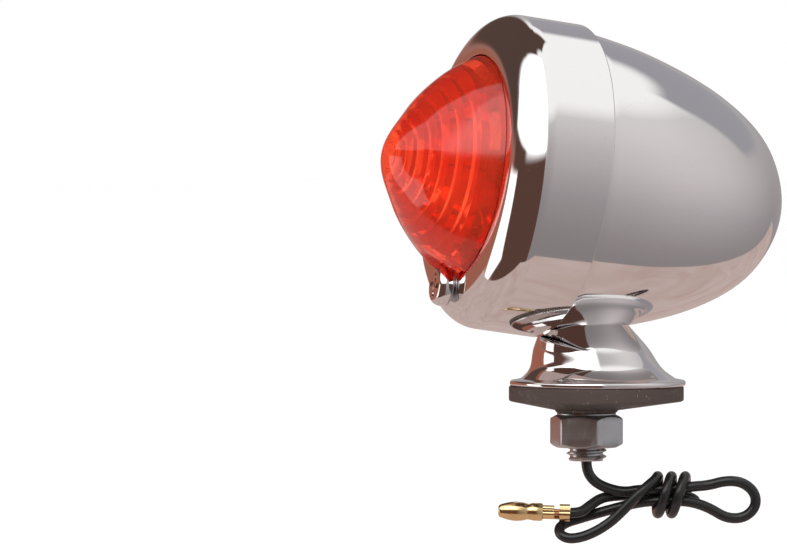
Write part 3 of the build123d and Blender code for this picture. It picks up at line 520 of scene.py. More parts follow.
class TURNSIGNAL_OT_lens(bpy.types.Operator):
    """Red lens: rounded cone with stepped rings inside and a scallop round the screw"""
    bl_idname = "turn_signal.lens"
    bl_label = "Lens"

    def execute(self, context):
        sizes = context.scene.turn_signal_sizes
        apex = forward_reach("lens")
        rear = forward_reach("lens", front=False)
        flange = widest("lens")
        lip = forward_reach("bezel")
        rim = sizes.opening_radius - sizes.lens_gap
        height = apex - lip
        knots = [(apex, 0), *((apex - down * height, out * rim) for down, out, _ in DOME_SHARES), (lip, rim)]
        outer = smooth_line(knots, (0, 1), DOME_END, 16)
        seat = rear + sizes.flange_thickness
        bevel = 0.2
        outer += [(seat, rim), (seat, flange - bevel), (seat - bevel, flange), (rear, flange)]
        wall = sizes.lens_wall
        bore = rim - wall - 0.3
        inner_knots = [(apex - wall, 0)]
        inner_knots += [(apex - down * height - wall, out * rim - slim * wall)
                        for down, out, slim in DOME_SHARES]
        inner_knots.append((lip, bore))
        hollow = smooth_line(inner_knots, (0, 1), DOME_END, 16)
        steps = [(apex - wall, 0)]
        ring = sizes.ring_spacing
        for count in range(1, int(bore / ring) + 1):
            here = hollow_height(hollow, count * ring)
            before = hollow_height(hollow, (count - 1) * ring)
            steps.append((before - RING_RISE * (before - here), count * ring - RING_SLOPE))
            steps.append((here, count * ring))
        inner = steps + [(lip, bore), (rear, bore)]
        section = outer + list(reversed(inner))
        mesh = turned(section, LAMP, FORWARD, RISE, steps=256)
        for vertex in mesh.verts:
            along, radius, turn = polar(vertex.co)
            if along > seat + 0.01:
                inside = along < hollow_height_at(hollow, radius) + 0.05
                limit = scallop_limit(turn, SCREW_DROP, sizes.scallop_radius + wall * inside)
                vertex.co = lamp_point(along, min(radius, limit), turn)
        bmesh.ops.recalc_face_normals(mesh, faces=mesh.faces)
        piece("lens_dome", mesh, "red_acrylic", "bezel_unit", ["lens"], crease=30)
        return {"FINISHED"}


def hollow_height(line, radius):
    """How far forward a smooth half section is at a radius."""
    for (along, near), (next_along, far) in zip(line, line[1:]):
        if near <= radius <= far:
            share = (radius - near) / max(1e-6, far - near)
            return along + share * (next_along - along)
    return line[-1][0]


def hollow_height_at(line, radius):
    """The same one moulded ring further in, where the line is at its tallest step."""
    return hollow_height(line, max(0, radius - RING_REACH))


class TURNSIGNAL_OT_reflector(bpy.types.Operator):
    """Silvered dish behind the lens"""
    bl_idname = "turn_signal.reflector"
    bl_label = "Reflector"

    def execute(self, context):
        front = forward_reach("reflector")
        back = forward_reach("reflector", front=False)
        rim = widest("reflector")
        sizes = context.scene.turn_signal_sizes
        wall = sizes.reflector_wall
        bore = sizes.reflector_bore
        dish = rim - sizes.reflector_rim
        middle = ((front - wall + back) / 2 - sizes.reflector_bulge, (dish + bore) / 2)
        start, end = (0.15, 1), (1.2, 1)
        face = smooth_line(
            [(back + wall, bore), (middle[0] + wall, middle[1]), (front, dish)], start, end, 12)
        rear = smooth_line([(back, bore), middle, (front - wall, dish)], start, end, 12)
        section = face + [(front, rim), (front - wall, rim)] + list(reversed(rear))
        mesh = turned(section, LAMP, FORWARD, RISE, steps=128, closed=True)
        piece("reflector_dish", mesh, "silvered", "lamp", ["reflector"])
        return {"FINISHED"}


class TURNSIGNAL_OT_bulb(bpy.types.Operator):
    """Blown glass of the bulb, thin walled, with a soft neck"""
    bl_idname = "turn_signal.bulb"
    bl_label = "Bulb glass"

    def execute(self, context):
        front = forward_reach("bulb_glass")
        back = forward_reach("bulb_glass", front=False)
        ball = widest("bulb_glass")
        sizes = context.scene.turn_signal_sizes
        neck = sizes.bulb_neck_radius
        wall = sizes.bulb_wall
        neck_front = back + sizes.bulb_neck_length
        middle = front - ball
        outer = arc_line((middle, 0), (ball, ball), 0, 90, 20)
        outer += smooth_line([(middle, ball), (neck_front, neck)], (-1, 0), (-1, 0), 14)[1:] + [(back, neck)]
        inner = [(back, neck - wall)]
        inner += smooth_line([(neck_front, neck - wall), (middle, ball - wall)], (1, 0), (1, 0), 14)
        inner += arc_line((middle, 0), (ball - wall, ball - wall), 90, 0, 20)[1:]
        mesh = turned(outer + inner, LAMP, FORWARD, RISE, steps=96)
        piece("bulb_envelope", mesh, "clear_glass", "bulb", ["bulb_glass"])
        return {"FINISHED"}


class TURNSIGNAL_OT_screw(bpy.types.Operator):
    """Pan-head screw with a cross recess"""
    bl_idname = "turn_signal.screw"
    bl_label = "Bezel screw"

    def execute(self, context):
        sizes = context.scene.turn_signal_sizes
        points = frame["nodes"]["bezel_screw"].data.vertices
        reaches = [(vertex.co - SCREW).dot(FORWARD) / MM for vertex in points]
        top, tip = max(reaches), min(reaches)
        seat = forward_reach("screw_washer")
        head = sizes.screw_head_radius
        shank = sizes.screw_shank_radius
        point = 0.5
        flat = sizes.cross_span / 2 + 0.35
        edge = seat + 0.7
        section = arc_line((edge, flat), (top - edge, head - flat), 0, 90, 12)
        section += [(seat, head - 0.1), (seat, shank), (tip + point, shank), (tip, shank - point), (tip, 0)]
        mesh = turned(section, SCREW, FORWARD, RISE, steps=64)
        rim = [edge for edge in mesh.edges if edge.is_boundary]
        half_span = sizes.cross_span / 2
        half_width = sizes.cross_width / 2
        outline = []
        for quarter in range(4):
            turn = Matrix.Rotation(quarter * math.pi / 2, 3, FORWARD)
            for side, reach in (
                (-half_width, half_span), (half_width, half_span), (half_width, half_width),
            ):
                spot = turn @ (ACROSS * side + RISE * reach)
                outline.append(mesh.verts.new(SCREW + (FORWARD * top + spot) * MM))
        cross = [mesh.edges.new(pair) for pair in zip(outline, outline[1:] + outline[:1])]
        bmesh.ops.triangle_fill(mesh, use_beauty=True, use_dissolve=False, edges=rim + cross, normal=FORWARD)
        grown = bmesh.ops.extrude_edge_only(mesh, edges=cross)["geom"]
        floor = [item for item in grown if isinstance(item, bmesh.types.BMVert)]
        centre = SCREW + FORWARD * top * MM
        for vertex in floor:
            vertex.co = centre + (vertex.co - centre) * sizes.cross_taper - FORWARD * sizes.cross_depth * MM
        rim = [edge for edge in mesh.edges if edge.is_boundary]
        bmesh.ops.triangle_fill(mesh, use_beauty=True, use_dissolve=False, edges=rim, normal=FORWARD)
        bmesh.ops.remove_doubles(mesh, verts=mesh.verts, dist=MERGE_REACH * MM)
        bmesh.ops.recalc_face_normals(mesh, faces=mesh.faces)
        piece("screw_head", mesh, "chrome", "screw", ["bezel_screw"], crease=40)
        low = forward_reach("screw_washer", front=False)
        bore, outside, bevel = shank + 0.1, sizes.screw_washer_radius, 0.12
        seal = [(low, bore), (low, outside - 0.2), (low + bevel, outside),
                (seat - bevel, outside), (seat, outside - 0.2), (seat, bore)]
        ring = turned(seal, SCREW, FORWARD, RISE, steps=64, closed=True)
        piece("screw_seal", ring, "zinc", "screw_carrier", ["screw_washer"], crease=40)
        return {"FINISHED"}


# Base -------------------------------------------------------------------------------------------


class TURNSIGNAL_OT_pedestal(bpy.types.Operator):
    """Slanted cone on a round flange, its top meeting the bowl"""
    bl_idname = "turn_signal.pedestal"
    bl_label = "Pedestal"

    def execute(self, context):
        sizes = context.scene.turn_signal_sizes
        low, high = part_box("pedestal")
        low_z, radius = low.z / MM, (high.x - low.x) / 2 / MM
        shift = (low.y + high.y) / 2 / MM
        foot, foot_z = sizes.cone_foot_radius, sizes.cone_foot_height
        top, top_z = sizes.cone_top_radius, sizes.saddle_height
        thick = sizes.flange_thickness
        neck_end = top_z + 3.0
        skirt = smooth_line(
            [(foot_z - 0.55, foot + 1.0), (foot_z, foot), (foot_z + 1.4, foot - 1.5)],
            (0.1, -1), (1, -0.75), 6)
        edge = arc_line((low_z + thick / 2, radius - 0.35), (thick / 2, 0.35), 180, 0, 8)
        neck = smooth_line(
            [(foot_z + 1.4, foot - 1.5), ((foot_z + top_z) / 2 + 1, (foot + top) / 2 - 0.35),
             (neck_end, top - 1.2)],
            (1, -0.75), (1, -0.45), 10)
        inner = [(neck_end, top - 2.4), (foot_z + 1.0, foot - 3.0), (low_z, foot - 1.6)]
        section = edge + skirt + neck[1:] + inner
        mesh = turned(section, STUD, UP, ACROSS, steps=128, closed=True)
        for vertex in mesh.verts:
            share = (top_z - vertex.co.z / MM) / (top_z - foot_z)
            vertex.co.y += shift * min(1, share) * MM
        piece("pedestal_cone", mesh, "chrome", "lamp", ["pedestal"])
        return {"FINISHED"}


class TURNSIGNAL_OT_pad(bpy.types.Operator):
    """Rubber pad under the flange, coned below to a boss"""
    bl_idname = "turn_signal.pad"
    bl_label = "Rubber pad"

    def execute(self, context):
        sizes = context.scene.turn_signal_sizes
        low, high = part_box("rubber_pad")
        radius = (high.x - low.x) / 2 / MM
        shift = (low.y + high.y) / 2 / MM
        top = high.z / MM
        edge = sizes.pad_edge_low
        boss = sizes.pad_boss_radius
        lip = 0.45
        bore = sizes.pad_bore
        section = [
            (0, bore), (0, boss - 0.3), (0.3, boss), (0.55, boss + 0.15),
            *arc_line((edge + lip, radius - lip), (lip, lip), 180, 90, 6),
            *arc_line((top - lip, radius - lip), (lip, lip), 90, 0, 6),
            (top, bore),
        ]
        mesh = turned(section, STUD, UP, ACROSS, steps=128, closed=True)
        for vertex in mesh.verts:
            reach = math.hypot(vertex.co.x, vertex.co.y) / MM
            vertex.co.y += shift * min(1, max(0, (reach - boss) / (radius - boss))) * MM
        piece("pad_disc", mesh, "pad_rubber", "lamp", ["rubber_pad"])
        return {"FINISHED"}


def hex_reach(turn, across, first_flat):
    """Radius of a hexagon's outline at a turn from +X."""
    sixth = math.pi / 3
    offset = (turn - first_flat + sixth / 2) % sixth - sixth / 2
    return across / 2 / math.cos(offset)


class TURNSIGNAL_OT_fixings(bpy.types.Operator):
    """Mounting nut with chamfered corners, its washer, and the threaded hollow stud"""
    bl_idname = "turn_signal.fixings"
    bl_label = "Nut, washer and stud"

    def execute(self, context):
        sizes = context.scene.turn_signal_sizes
        low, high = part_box("stud_nut")
        top, bottom = high.z / MM, low.z / MM
        across = sizes.nut_across_flats
        seat = sizes.nut_seat_share * across / 2
        thread, mouth, chamfer = 3.75, 4.2, 0.35
        past_flats = 7.0
        section = [(bottom + chamfer, thread), (bottom, mouth), (bottom, seat),
                   (bottom + 1, past_flats), (bottom + 2, past_flats),
                   (top - 2, past_flats), (top - 1, past_flats),
                   (top, seat), (top, mouth), (top - chamfer, thread)]
        mesh = turned(section, STUD, UP, ACROSS, steps=144, closed=True)
        flat = sizes.nut_turn
        for vertex in mesh.verts:
            height = vertex.co.z / MM
            reach = math.hypot(vertex.co.x, vertex.co.y) / MM
            if reach > seat + 0.1:
                turn = math.atan2(vertex.co.y, vertex.co.x)
                side = hex_reach(turn, across, flat)
                drop = (side - seat) * math.tan(sizes.nut_chamfer)
                if height < bottom + 1.5:
                    height = bottom + drop
                elif height > top - 1.5:
                    height = top - drop
                vertex.co = Vector((math.cos(turn) * side, math.sin(turn) * side, height)) * MM
        soften(mesh, 0.06, angle=40, segments=1)
        piece("nut_hex", mesh, "zinc", "nut", ["stud_nut"], crease=25)

        low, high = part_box("nut_washer")
        radius = (high.x - low.x) / 2 / MM
        bottom, top, bore, bevel = low.z / MM, high.z / MM, 4.05, 0.1
        section = [(bottom, bore), (bottom, radius - bevel), (bottom + bevel, radius),
                   (top - bevel, radius), (top, radius - bevel), (top, bore)]
        ring = turned(section, STUD, UP, ACROSS, steps=96, closed=True)
        piece("nut_washer_ring", ring, "zinc", "nut_carrier", ["nut_washer"], crease=40)

        low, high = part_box("mounting_stud")
        stud = threaded_rod(
            low.z / MM, high.z / MM, (high.x - low.x) / 2 / MM, sizes.stud_bore, sizes.thread_pitch)
        piece("stud_thread", stud, "thread_steel", "lamp", ["mounting_stud"])
        return {"FINISHED"}


def threaded_rod(bottom, top, radius, bore, pitch):
    """A hollow rod with a screw thread, all sizes in mm, its ends chamfered."""
    mesh = bmesh.new()
    depth = 0.55 * pitch
    steps = 48
    start = bottom - pitch
    chamfer = 0.7
    ridge = [(0, -depth), (0.12, -depth), (0.42, 0), (0.58, 0), (0.88, -depth), (1, -depth)]
    line = [mesh.verts.new((ACROSS * (radius + dip) + UP * (start + share * pitch)) * MM)
            for share, dip in ridge]
    edges = [mesh.edges.new(pair) for pair in zip(line, line[1:])]
    turns = math.ceil((top - bottom) / pitch) + 1
    bmesh.ops.spin(
        mesh, geom=line + edges, cent=STUD, axis=UP, dvec=UP * (pitch / steps) * MM,
        angle=math.tau * turns, steps=steps * turns, use_merge=False,
    )
    bmesh.ops.remove_doubles(mesh, verts=mesh.verts, dist=0.005 * MM)
    for height, keep_above in ((bottom, True), (top, False)):
        everything = mesh.verts[:] + mesh.edges[:] + mesh.faces[:]
        bmesh.ops.bisect_plane(
            mesh, geom=everything, dist=1e-7, plane_co=UP * height * MM, plane_no=UP,
            clear_inner=keep_above, clear_outer=not keep_above,
        )
    for vertex in mesh.verts:
        reach = math.hypot(vertex.co.x, vertex.co.y) / MM
        near_end = min(vertex.co.z / MM - bottom, top - vertex.co.z / MM)
        limit = min(reach, radius - chamfer + near_end)
        vertex.co.x *= limit / reach
        vertex.co.y *= limit / reach
    for height in (bottom, top):
        rim = [edge for edge in mesh.edges if edge.is_boundary
               and all(abs(vertex.co.z / MM - height) < 0.01 for vertex in edge.verts)]
        hole = bmesh.ops.create_circle(
            mesh, segments=steps, radius=bore * MM, matrix=Matrix.Translation(UP * height * MM))
        hole_edges = [edge for edge in mesh.edges if all(vertex in hole["verts"] for vertex in edge.verts)]
        bmesh.ops.bridge_loops(mesh, edges=rim + hole_edges)
    bores = [edge for edge in mesh.edges if edge.is_boundary]
    bmesh.ops.bridge_loops(mesh, edges=bores)
    bmesh.ops.recalc_face_normals(mesh, faces=mesh.faces)
    return mesh


# Lead -------------------------------------------------------------------------------------------

LEAD_TURN = math.radians(69)
LEAD_ALONG = Vector((math.cos(LEAD_TURN), math.sin(LEAD_TURN), 0))
LEAD_NEAR = Vector((math.sin(LEAD_TURN), -math.cos(LEAD_TURN), 0))
LEAD_DIAMETER = 2.1
WRAP_HEIGHT = -16.4
WRAP_RADII = (3.8, 3.6)
WRAP_PITCH = 2.75
WRAP_START = 13.55  # where along the folded lead the first turn passes over the top
WRAP_SLANT = 0.7

# Along the lead's plane, height, and toward its near side, in mm
LEAD_START = [
    (0, -9.6, 0), (0, -11.5, 0), (1.5, -13.8, 0), (4.3, -15.2, 0), (7.6, -15.9, 0),
    (10.4, -15.4, 0.3), (13.5, -15.3, 0.5), (17.5, -15.2, 0.5),
]
LEAD_RIGHT_LOOP = [
    (21.2, -14.7, 0.4), (24.4, -14.5, 0), (27.9, -13.5, 0.3), (31.2, -13.8, 0.2), (33.7, -15.9, 0),
    (33.9, -18.8, -0.1), (31.6, -21.0, 0), (28.0, -21.1, 0.2), (24.6, -19.0, 0.1), (21.2, -17.8, 0.4),
]
LEAD_LEFT_LOOP = [
    (17.5, -17.5, 0.5), (12.9, -17.6, 0.5), (9.6, -18.1, 0.2), (6.4, -19.0, -0.5), (2.1, -20.2, -1.2),
    (-1.4, -21.3, -1.8), (-4.1, -22.1, -1.7), (-5.6, -23.2, -0.4), (-5.1, -24.6, 1.2), (-2.9, -25.2, 2.3),
    (0.6, -24.3, 2.6), (4.4, -22.1, 2.7), (7.3, -19.4, 3.0), (9.6, -16.9, 3.3), (11.7, -14.9, 3.2),
]
LEAD_END = [
    (21.4, -17.6, -3.3), (21.9, -17.7, -2.1), (20.6, -16.8, -1.4), (17.0, -16.4, -1.35),
    (12.6, -16.5, -1.8), (9.9, -16.6, -2.4), (6.6, -16.7, -2.2), (3.1, -17.0, -1.2),
    (0.8, -18.5, 0.2), (-1.2, -20.0, 1.6), (-3.2, -19.95, 1.6),
]
CONNECTOR_END = (-3.2, -19.95, 1.6)
CONNECTOR_TIP = (-17.3, -19.55, 1.6)


def lead_place(place):
    """A place in the lead's upright plane as a point in the frame."""
    along, height, near = place
    return (LEAD_ALONG * along + LEAD_NEAR * near + UP * height) * MM


def wrap_places():
    """The turns of lead round the folded lead, from the front over the top, two and a third times."""
    places = []
    first, last, step = 60, 900, 24
    for degrees in range(first, last + 1, step):
        turn = math.radians(degrees)
        along = WRAP_START + WRAP_PITCH * (degrees - 90) / 360 + WRAP_SLANT * math.sin(turn)
        places.append((
            along,
            WRAP_HEIGHT + WRAP_RADII[0] * math.sin(turn),
            WRAP_RADII[1] * math.cos(turn),
        ))
    return places


def lead_route():
    """Every control point of the lead, from the stud's end to the connector."""
    places = LEAD_START + LEAD_RIGHT_LOOP + LEAD_LEFT_LOOP + wrap_places() + LEAD_END
    return [lead_place(place) for place in places]


def lead_curve(name, points, radius):
    """One smooth NURBS wire through control points."""
    data = bpy.data.curves.new(name, "CURVE")
    data.dimensions = "3D"
    data.resolution_u = 6
    data.bevel_depth = 1.0
    data.bevel_resolution = 6
    data.use_fill_caps = True
    spline = data.splines.new("NURBS")
    spline.points.add(len(points) - 1)
    for knot, point in zip(spline.points, points):
        knot.co = (*point, 1)
        knot.radius = radius * MM
    spline.order_u = 3
    spline.use_endpoint_u = True
    thing = bpy.data.objects.new(name, data)
    bpy.context.scene.collection.objects.link(thing)
    return thing


def line_length(thing):
    """Length of a curve's centreline, in metres, from a copy without thickness."""
    bare = bpy.data.objects.new("bare_line", thing.data.copy())
    bare.data.bevel_depth = 0
    line = bpy.data.meshes.new_from_object(bare)
    length = sum((line.vertices[edge.vertices[0]].co - line.vertices[edge.vertices[1]].co).length
                 for edge in line.edges)
    bpy.data.curves.remove(bare.data)
    bpy.data.meshes.remove(line)
    return length


class TURNSIGNAL_OT_lead(bpy.types.Operator):
    """Black wire out of the stud, folded and wound round itself"""
    bl_idname = "turn_signal.lead"
    bl_label = "Lead"

    def execute(self, context):
        points = lead_route()
        wire = lead_curve("lead_wire", points, LEAD_DIAMETER / 2)
        wire.data.materials.append(finish_named("vinyl"))
        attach(wire, "lamp")
        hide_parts("lead_drop", "lead_right_loop", "lead_left_loop", "lead_tail", "lead_wraps")
        connector = connector_pieces()
        length = line_length(wire)
        return {"FINISHED"}


def grooved(mesh, centre, axis, up, low, high, depth, width):
    """Press a seam along a sleeve between two places on its axis, as a crimp's rolled edges do."""
    side = axis.cross(up)
    for vertex in mesh.verts:
        offset = (vertex.co - centre) / MM
        along = offset.dot(axis)
        if low < along < high:
            turn = math.atan2(offset.dot(side), offset.dot(up))
            dent = 1 - depth * math.exp(-(turn / width) ** 2)
            radial = offset - axis * along
            vertex.co = centre + (axis * along + radial * dent) * MM


BULLET_LENGTH = 14.4
CRIMP_WALL = 0.32
# Crimps, in mm along the connector: name, from and to, radius, then the seam's depth and width
CRIMPS = (("insulation_crimp", 0.1, 2.2, 1.72, 0.34, 0.42), ("strand_crimp", 3.2, 5.6, 1.4, 0.45, 0.5))
STRIP_SIZE = (1.8, 1.5, 0.3)
STRIP_PLACE = 2.7
STRIP_DROP = 1.28
STRANDS = 7
STRAND_RADIUS = 0.24
STRAND_SPACING = 0.48
STRAND_LENGTH = 5.4
STRAND_TWIST = 0.35


def bullet_section():
    """Half section of the rolled body and the nose, closed at both ends of the axis."""
    body = [(5.5, 0), (5.5, 1.55), (5.75, 1.8), (7.3, 1.8), (7.6, 1.72), (8.2, 1.6), (8.7, 1.6)]
    shoulder = BULLET_LENGTH - 3.6
    body += smooth_line([(8.7, 1.6), (9.3, 1.8), (shoulder, 1.95)], (1, 0.2), (1, 0.05), 5)[1:]
    nose = smooth_line(
        [(shoulder, 1.95), (BULLET_LENGTH - 1.2, 1.55), (BULLET_LENGTH, 0.9)], (1, 0), (0.5, -1), 8)
    dimple = BULLET_LENGTH - 0.5
    return body + nose[1:] + [(BULLET_LENGTH, 0.45), (dimple, 0.4), (dimple, 0)]


def strand_bundle(end, axis, up):
    """Seven twisted strands along the connector."""
    strands = bmesh.new()
    for count in range(STRANDS):
        reach = STRAND_SPACING if count else 0
        around = count * math.tau / (STRANDS - 1)
        centre = (up * math.cos(around) + axis.cross(up) * math.sin(around)) * reach
        lean = axis.cross(centre) * STRAND_TWIST + axis * STRAND_LENGTH
        middle = end + (centre + lean / 2) * MM
        spin = lean.to_track_quat("Z", "Y").to_matrix().to_4x4()
        bmesh.ops.create_cone(
            strands, cap_ends=True, segments=10, radius1=STRAND_RADIUS * MM, radius2=STRAND_RADIUS * MM,
            depth=lean.length * MM, matrix=Matrix.Translation(middle) @ spin,
        )
    return strands


def connector_pieces():
    """Bullet connector: rolled tip and collar, two crimps, their joining strip and the bare strands."""
    end, tip = lead_place(CONNECTOR_END), lead_place(CONNECTOR_TIP)
    axis = (tip - end).normalized()
    up = (LEAD_NEAR * 0.8 + UP * 0.6).cross(axis).cross(axis).normalized() * -1
    bullet = turned(bullet_section(), end, axis, up, steps=64)
    made = [piece("bullet_tip", bullet, "brass", "lamp", ["bullet_connector"], crease=45)]
    for label, low, high, radius, depth, width in CRIMPS:
        bands = 8
        outside = [(low + (high - low) * band / bands, radius) for band in range(bands + 1)]
        inside = [(along, radius - CRIMP_WALL) for along, _ in reversed(outside)]
        sleeve = turned(outside + inside, end, axis, up, steps=64, closed=True)
        grooved(sleeve, end, axis, up, low - 0.1, high + 0.1, depth, width)
        made.append(piece(label, sleeve, "brass", "lamp", crease=45))
    strip = bmesh.new()
    turn = Matrix((axis, axis.cross(up), up)).transposed().to_4x4()
    place = Matrix.Translation(end + (axis * STRIP_PLACE - up * STRIP_DROP) * MM) @ turn
    bmesh.ops.create_cube(
        strip, size=1, matrix=place @ Matrix.Diagonal((*(side * MM for side in STRIP_SIZE), 1)))
    bmesh.ops.recalc_face_normals(strip, faces=strip.faces)
    soften(strip, 0.06)
    made.append(piece("crimp_strip", strip, "brass", "lamp", crease=None))
    strands = strand_bundle(end, axis, up)
    made.append(piece(
        "strand_bundle", strands, "copper", "lamp", ["wire_strands"], crease=45))
    return made


# Carried-over pieces ----------------------------------------------------------------------------

INNER_FINISHES = {
    "lens_gasket": "seal_rubber", "lens_retainer": "sheet_steel", "screw_tab": "sheet_steel",
    "tab_nut": "zinc", "socket_shell": "sheet_steel", "contact_insulator": "fibre",
    "contact_rivet": "brass", "contact_spring": "spring_wire", "bulb_base": "brass",
    "bulb_contact": "solder", "glass_stem": "clear_glass", "filament_supports": "spring_wire",
    "filament": "tungsten", "saddle_washer": "sheet_steel",
    "socket_bracket": "sheet_steel", "inner_nut": "zinc", "inner_lead": "vinyl",
}


class TURNSIGNAL_OT_inner_parts(bpy.types.Operator):
    """Finishes for the pieces inside the lamp, whose shapes are already right"""
    bl_idname = "turn_signal.inner_parts"
    bl_label = "Inner parts"

    def execute(self, context):
        for node, finish in INNER_FINISHES.items():
            data = frame["nodes"][node].data
            data.materials.clear()
            data.materials.append(finish_named(finish))
        return {"FINISHED"}


# Stage ------------------------------------------------------------------------------------------

# Corners in metres, from the stud, of the table top that the chrome mirrors
TABLE_CORNERS = ((-0.313, 0.665), (-0.75, 0.10), (-0.391, -0.455), (0.070, -0.066), (0.085, 0.024))
# What the chrome mirrors, from the ground up on the plain side wall: share of the half turn, colour
WALL_TONES = (
    (0.00, (0.48, 0.40, 0.38)), (0.20, (0.38, 0.34, 0.34)), (0.28, (0.39, 0.35, 0.35)),
    (0.42, (0.43, 0.40, 0.41)), (0.50, (0.51, 0.47, 0.48)), (0.60, (0.64, 0.60, 0.60)),
    (0.69, (0.84, 0.81, 0.80)), (0.76, (0.98, 0.97, 0.96)), (1.00, (1.00, 1.00, 1.00)),
)
WALL_BRIGHTEST = (math.cos(math.radians(55)), math.sin(math.radians(55)), 0)
WALL_FOCUS = 5.0  # how quickly the wall darkens away from its brightest bearing
WALL_LEVELS = (0.46, 0.64)  # what its brightest bearing adds to the level elsewhere
OVERHEAD = (16, 48)  # heights in degrees over which the wall turns to full brightness
GLOW = 1.12
PATCH_ZERO = math.radians(20)  # bearing from +X toward -Y that the patches' bearings count from
# Panels and gaps in front of the wall, in degrees: bearings, heights, fade, colour
PATCHES = (
    ((-6, 102), (-95, 30), 1.0, (0.10, 0.050, 0.038)),
    ((102, 175), (12, 60), 3.0, (0.085, 0.052, 0.042)),
    ((104, 200), (54, 82), 3.0, (0.085, 0.052, 0.042)),
    ((-200, -150), (58, 82), 3.0, (0.085, 0.052, 0.042)),
    ((98, 166), (-13, 13), 4.0, (0.34, 0.12, 0.08)),
    ((98, 166), (-95, -13), 5.0, (0.62, 0.30, 0.25)),
    ((-6, 100), (18.5, 95), 1.0, (1.15, 1.15, 1.15)),
    ((-6, 60), (18.5, 88), 7.0, (2.3, 2.3, 2.3)),
    ((81, 107), (-25, 9), 1.5, (1.5, 1.42, 1.38)),
    ((-178, -112), (20, 46), 3.0, (0.34, 0.33, 0.36)),
)


def window(tree, value, limits, fade):
    """One between two angles in degrees, with soft edges."""
    low, high = limits
    rise = add_node(tree, "ShaderNodeMapRange", {
        0: value, 1: math.radians(low - fade), 2: math.radians(low + fade)}, interpolation_type="SMOOTHSTEP")
    fall = add_node(tree, "ShaderNodeMapRange", {
        0: value, 1: math.radians(high - fade), 2: math.radians(high + fade), 3: 1.0, 4: 0.0},
        interpolation_type="SMOOTHSTEP")
    return math_node(tree, "MULTIPLY", rise.outputs[0], fall.outputs[0])


def glowing(name):
    """A material with nothing in it yet but a place, for a surface that only gives off light."""
    made = bpy.data.materials.new(name)
    made.use_nodes = True
    tree = made.node_tree
    tree.nodes.remove(tree.nodes["Principled BSDF"])
    return made, tree, add_node(tree, "ShaderNodeTexCoord").outputs["Object"]


def shine(tree, light, strength=1.0):
    """Give off light of a colour that a node works out."""
    glow = add_node(tree, "ShaderNodeEmission", {"Color": light, "Strength": strength})
    tree.links.new(glow.outputs[0], tree.nodes["Material Output"].inputs["Surface"])


def studio_glow(centre):
    """Light of the surroundings by direction: a wall that fades upwards, soft panels and dark gaps."""
    made, tree, place = glowing("studio_glow")
    offset = add_node(tree, "ShaderNodeVectorMath", {0: place, 1: centre}, operation="SUBTRACT").outputs[0]
    direction = add_node(tree, "ShaderNodeVectorMath", {0: offset}, operation="NORMALIZE").outputs[0]

    def along(axis):
        """How far the direction points along an axis."""
        return add_node(
            tree, "ShaderNodeVectorMath", {0: direction, 1: axis}, operation="DOT_PRODUCT").outputs["Value"]

    ahead = (math.cos(PATCH_ZERO), -math.sin(PATCH_ZERO), 0)
    aside = (-math.sin(PATCH_ZERO), -math.cos(PATCH_ZERO), 0)
    bearing = math_node(tree, "ARCTAN2", along(aside), along(ahead))
    height = math_node(tree, "ARCSINE", along(UP))
    share = add_node(tree, "ShaderNodeMapRange", {0: height, 1: -math.pi / 2, 2: math.pi / 2}).outputs[0]
    tones = add_node(tree, "ShaderNodeValToRGB", {"Fac": share})
    stripes = tones.color_ramp.elements
    while len(stripes) < len(WALL_TONES):
        stripes.new(0.5)
    for stripe, (stop, tone) in zip(stripes, WALL_TONES):
        stripe.position = stop
        stripe.color = (*tone, 1)
    facing = math_node(tree, "POWER", math_node(tree, "MAXIMUM", along(WALL_BRIGHTEST), 0.0), WALL_FOCUS)
    low, high = OVERHEAD
    overhead = add_node(tree, "ShaderNodeMapRange", {
        0: height, 1: math.radians(low), 2: math.radians(high)}, interpolation_type="SMOOTHSTEP").outputs[0]
    level = math_node(tree, "MAXIMUM", math_node(tree, "MULTIPLY_ADD", facing, *WALL_LEVELS), overhead)
    light = mix_colour(tree, 1.0, tones.outputs["Color"], level, blend="MULTIPLY")
    for bearings, heights, fade, tone in PATCHES:
        spot = math_node(
            tree, "MULTIPLY", window(tree, bearing, bearings, fade), window(tree, height, heights, fade))
        light = mix_colour(tree, spot, light, (*tone, 1))
    shine(tree, light, GLOW)
    return made


def cloth_glow():
    """Pinkish folded cloth that gives off its own painted light instead of being lit, lighter and darker in
    soft patches.
    """
    made, tree, place = glowing("cloth_glow")
    folds = add_node(tree, "ShaderNodeTexNoise", {
        "Vector": place, "Scale": 22.0, "Detail": 4.0, "Distortion": 1.5})
    cloth = mix_colour(tree, folds.outputs["Fac"], (0.46, 0.31, 0.26, 1), (0.70, 0.58, 0.56, 1))
    shine(tree, cloth)
    return made


def mirrored_only(name, mesh, material):
    """A piece of the surroundings that only mirror reflections see."""
    thing = linked(name, mesh, material)
    for ray in ("camera", "diffuse", "shadow", "transmission", "volume_scatter"):
        setattr(thing, f"visible_{ray}", False)


def surroundings(view, floor_height):
    """The studio that the chrome mirrors: a dome round the lamp and a table top under it."""
    dome = bmesh.new()
    bmesh.ops.create_uvsphere(dome, u_segments=64, v_segments=32, radius=view.dome_radius)
    bmesh.ops.reverse_faces(dome, faces=dome.faces)
    bmesh.ops.translate(dome, verts=dome.verts, vec=LAMP)
    mirrored_only("studio_dome", dome, studio_glow(LAMP))
    table = bmesh.new()
    table.faces.new([table.verts.new((x, y, floor_height + view.table_rise)) for x, y in TABLE_CORNERS])
    mirrored_only("studio_table", table, cloth_glow())


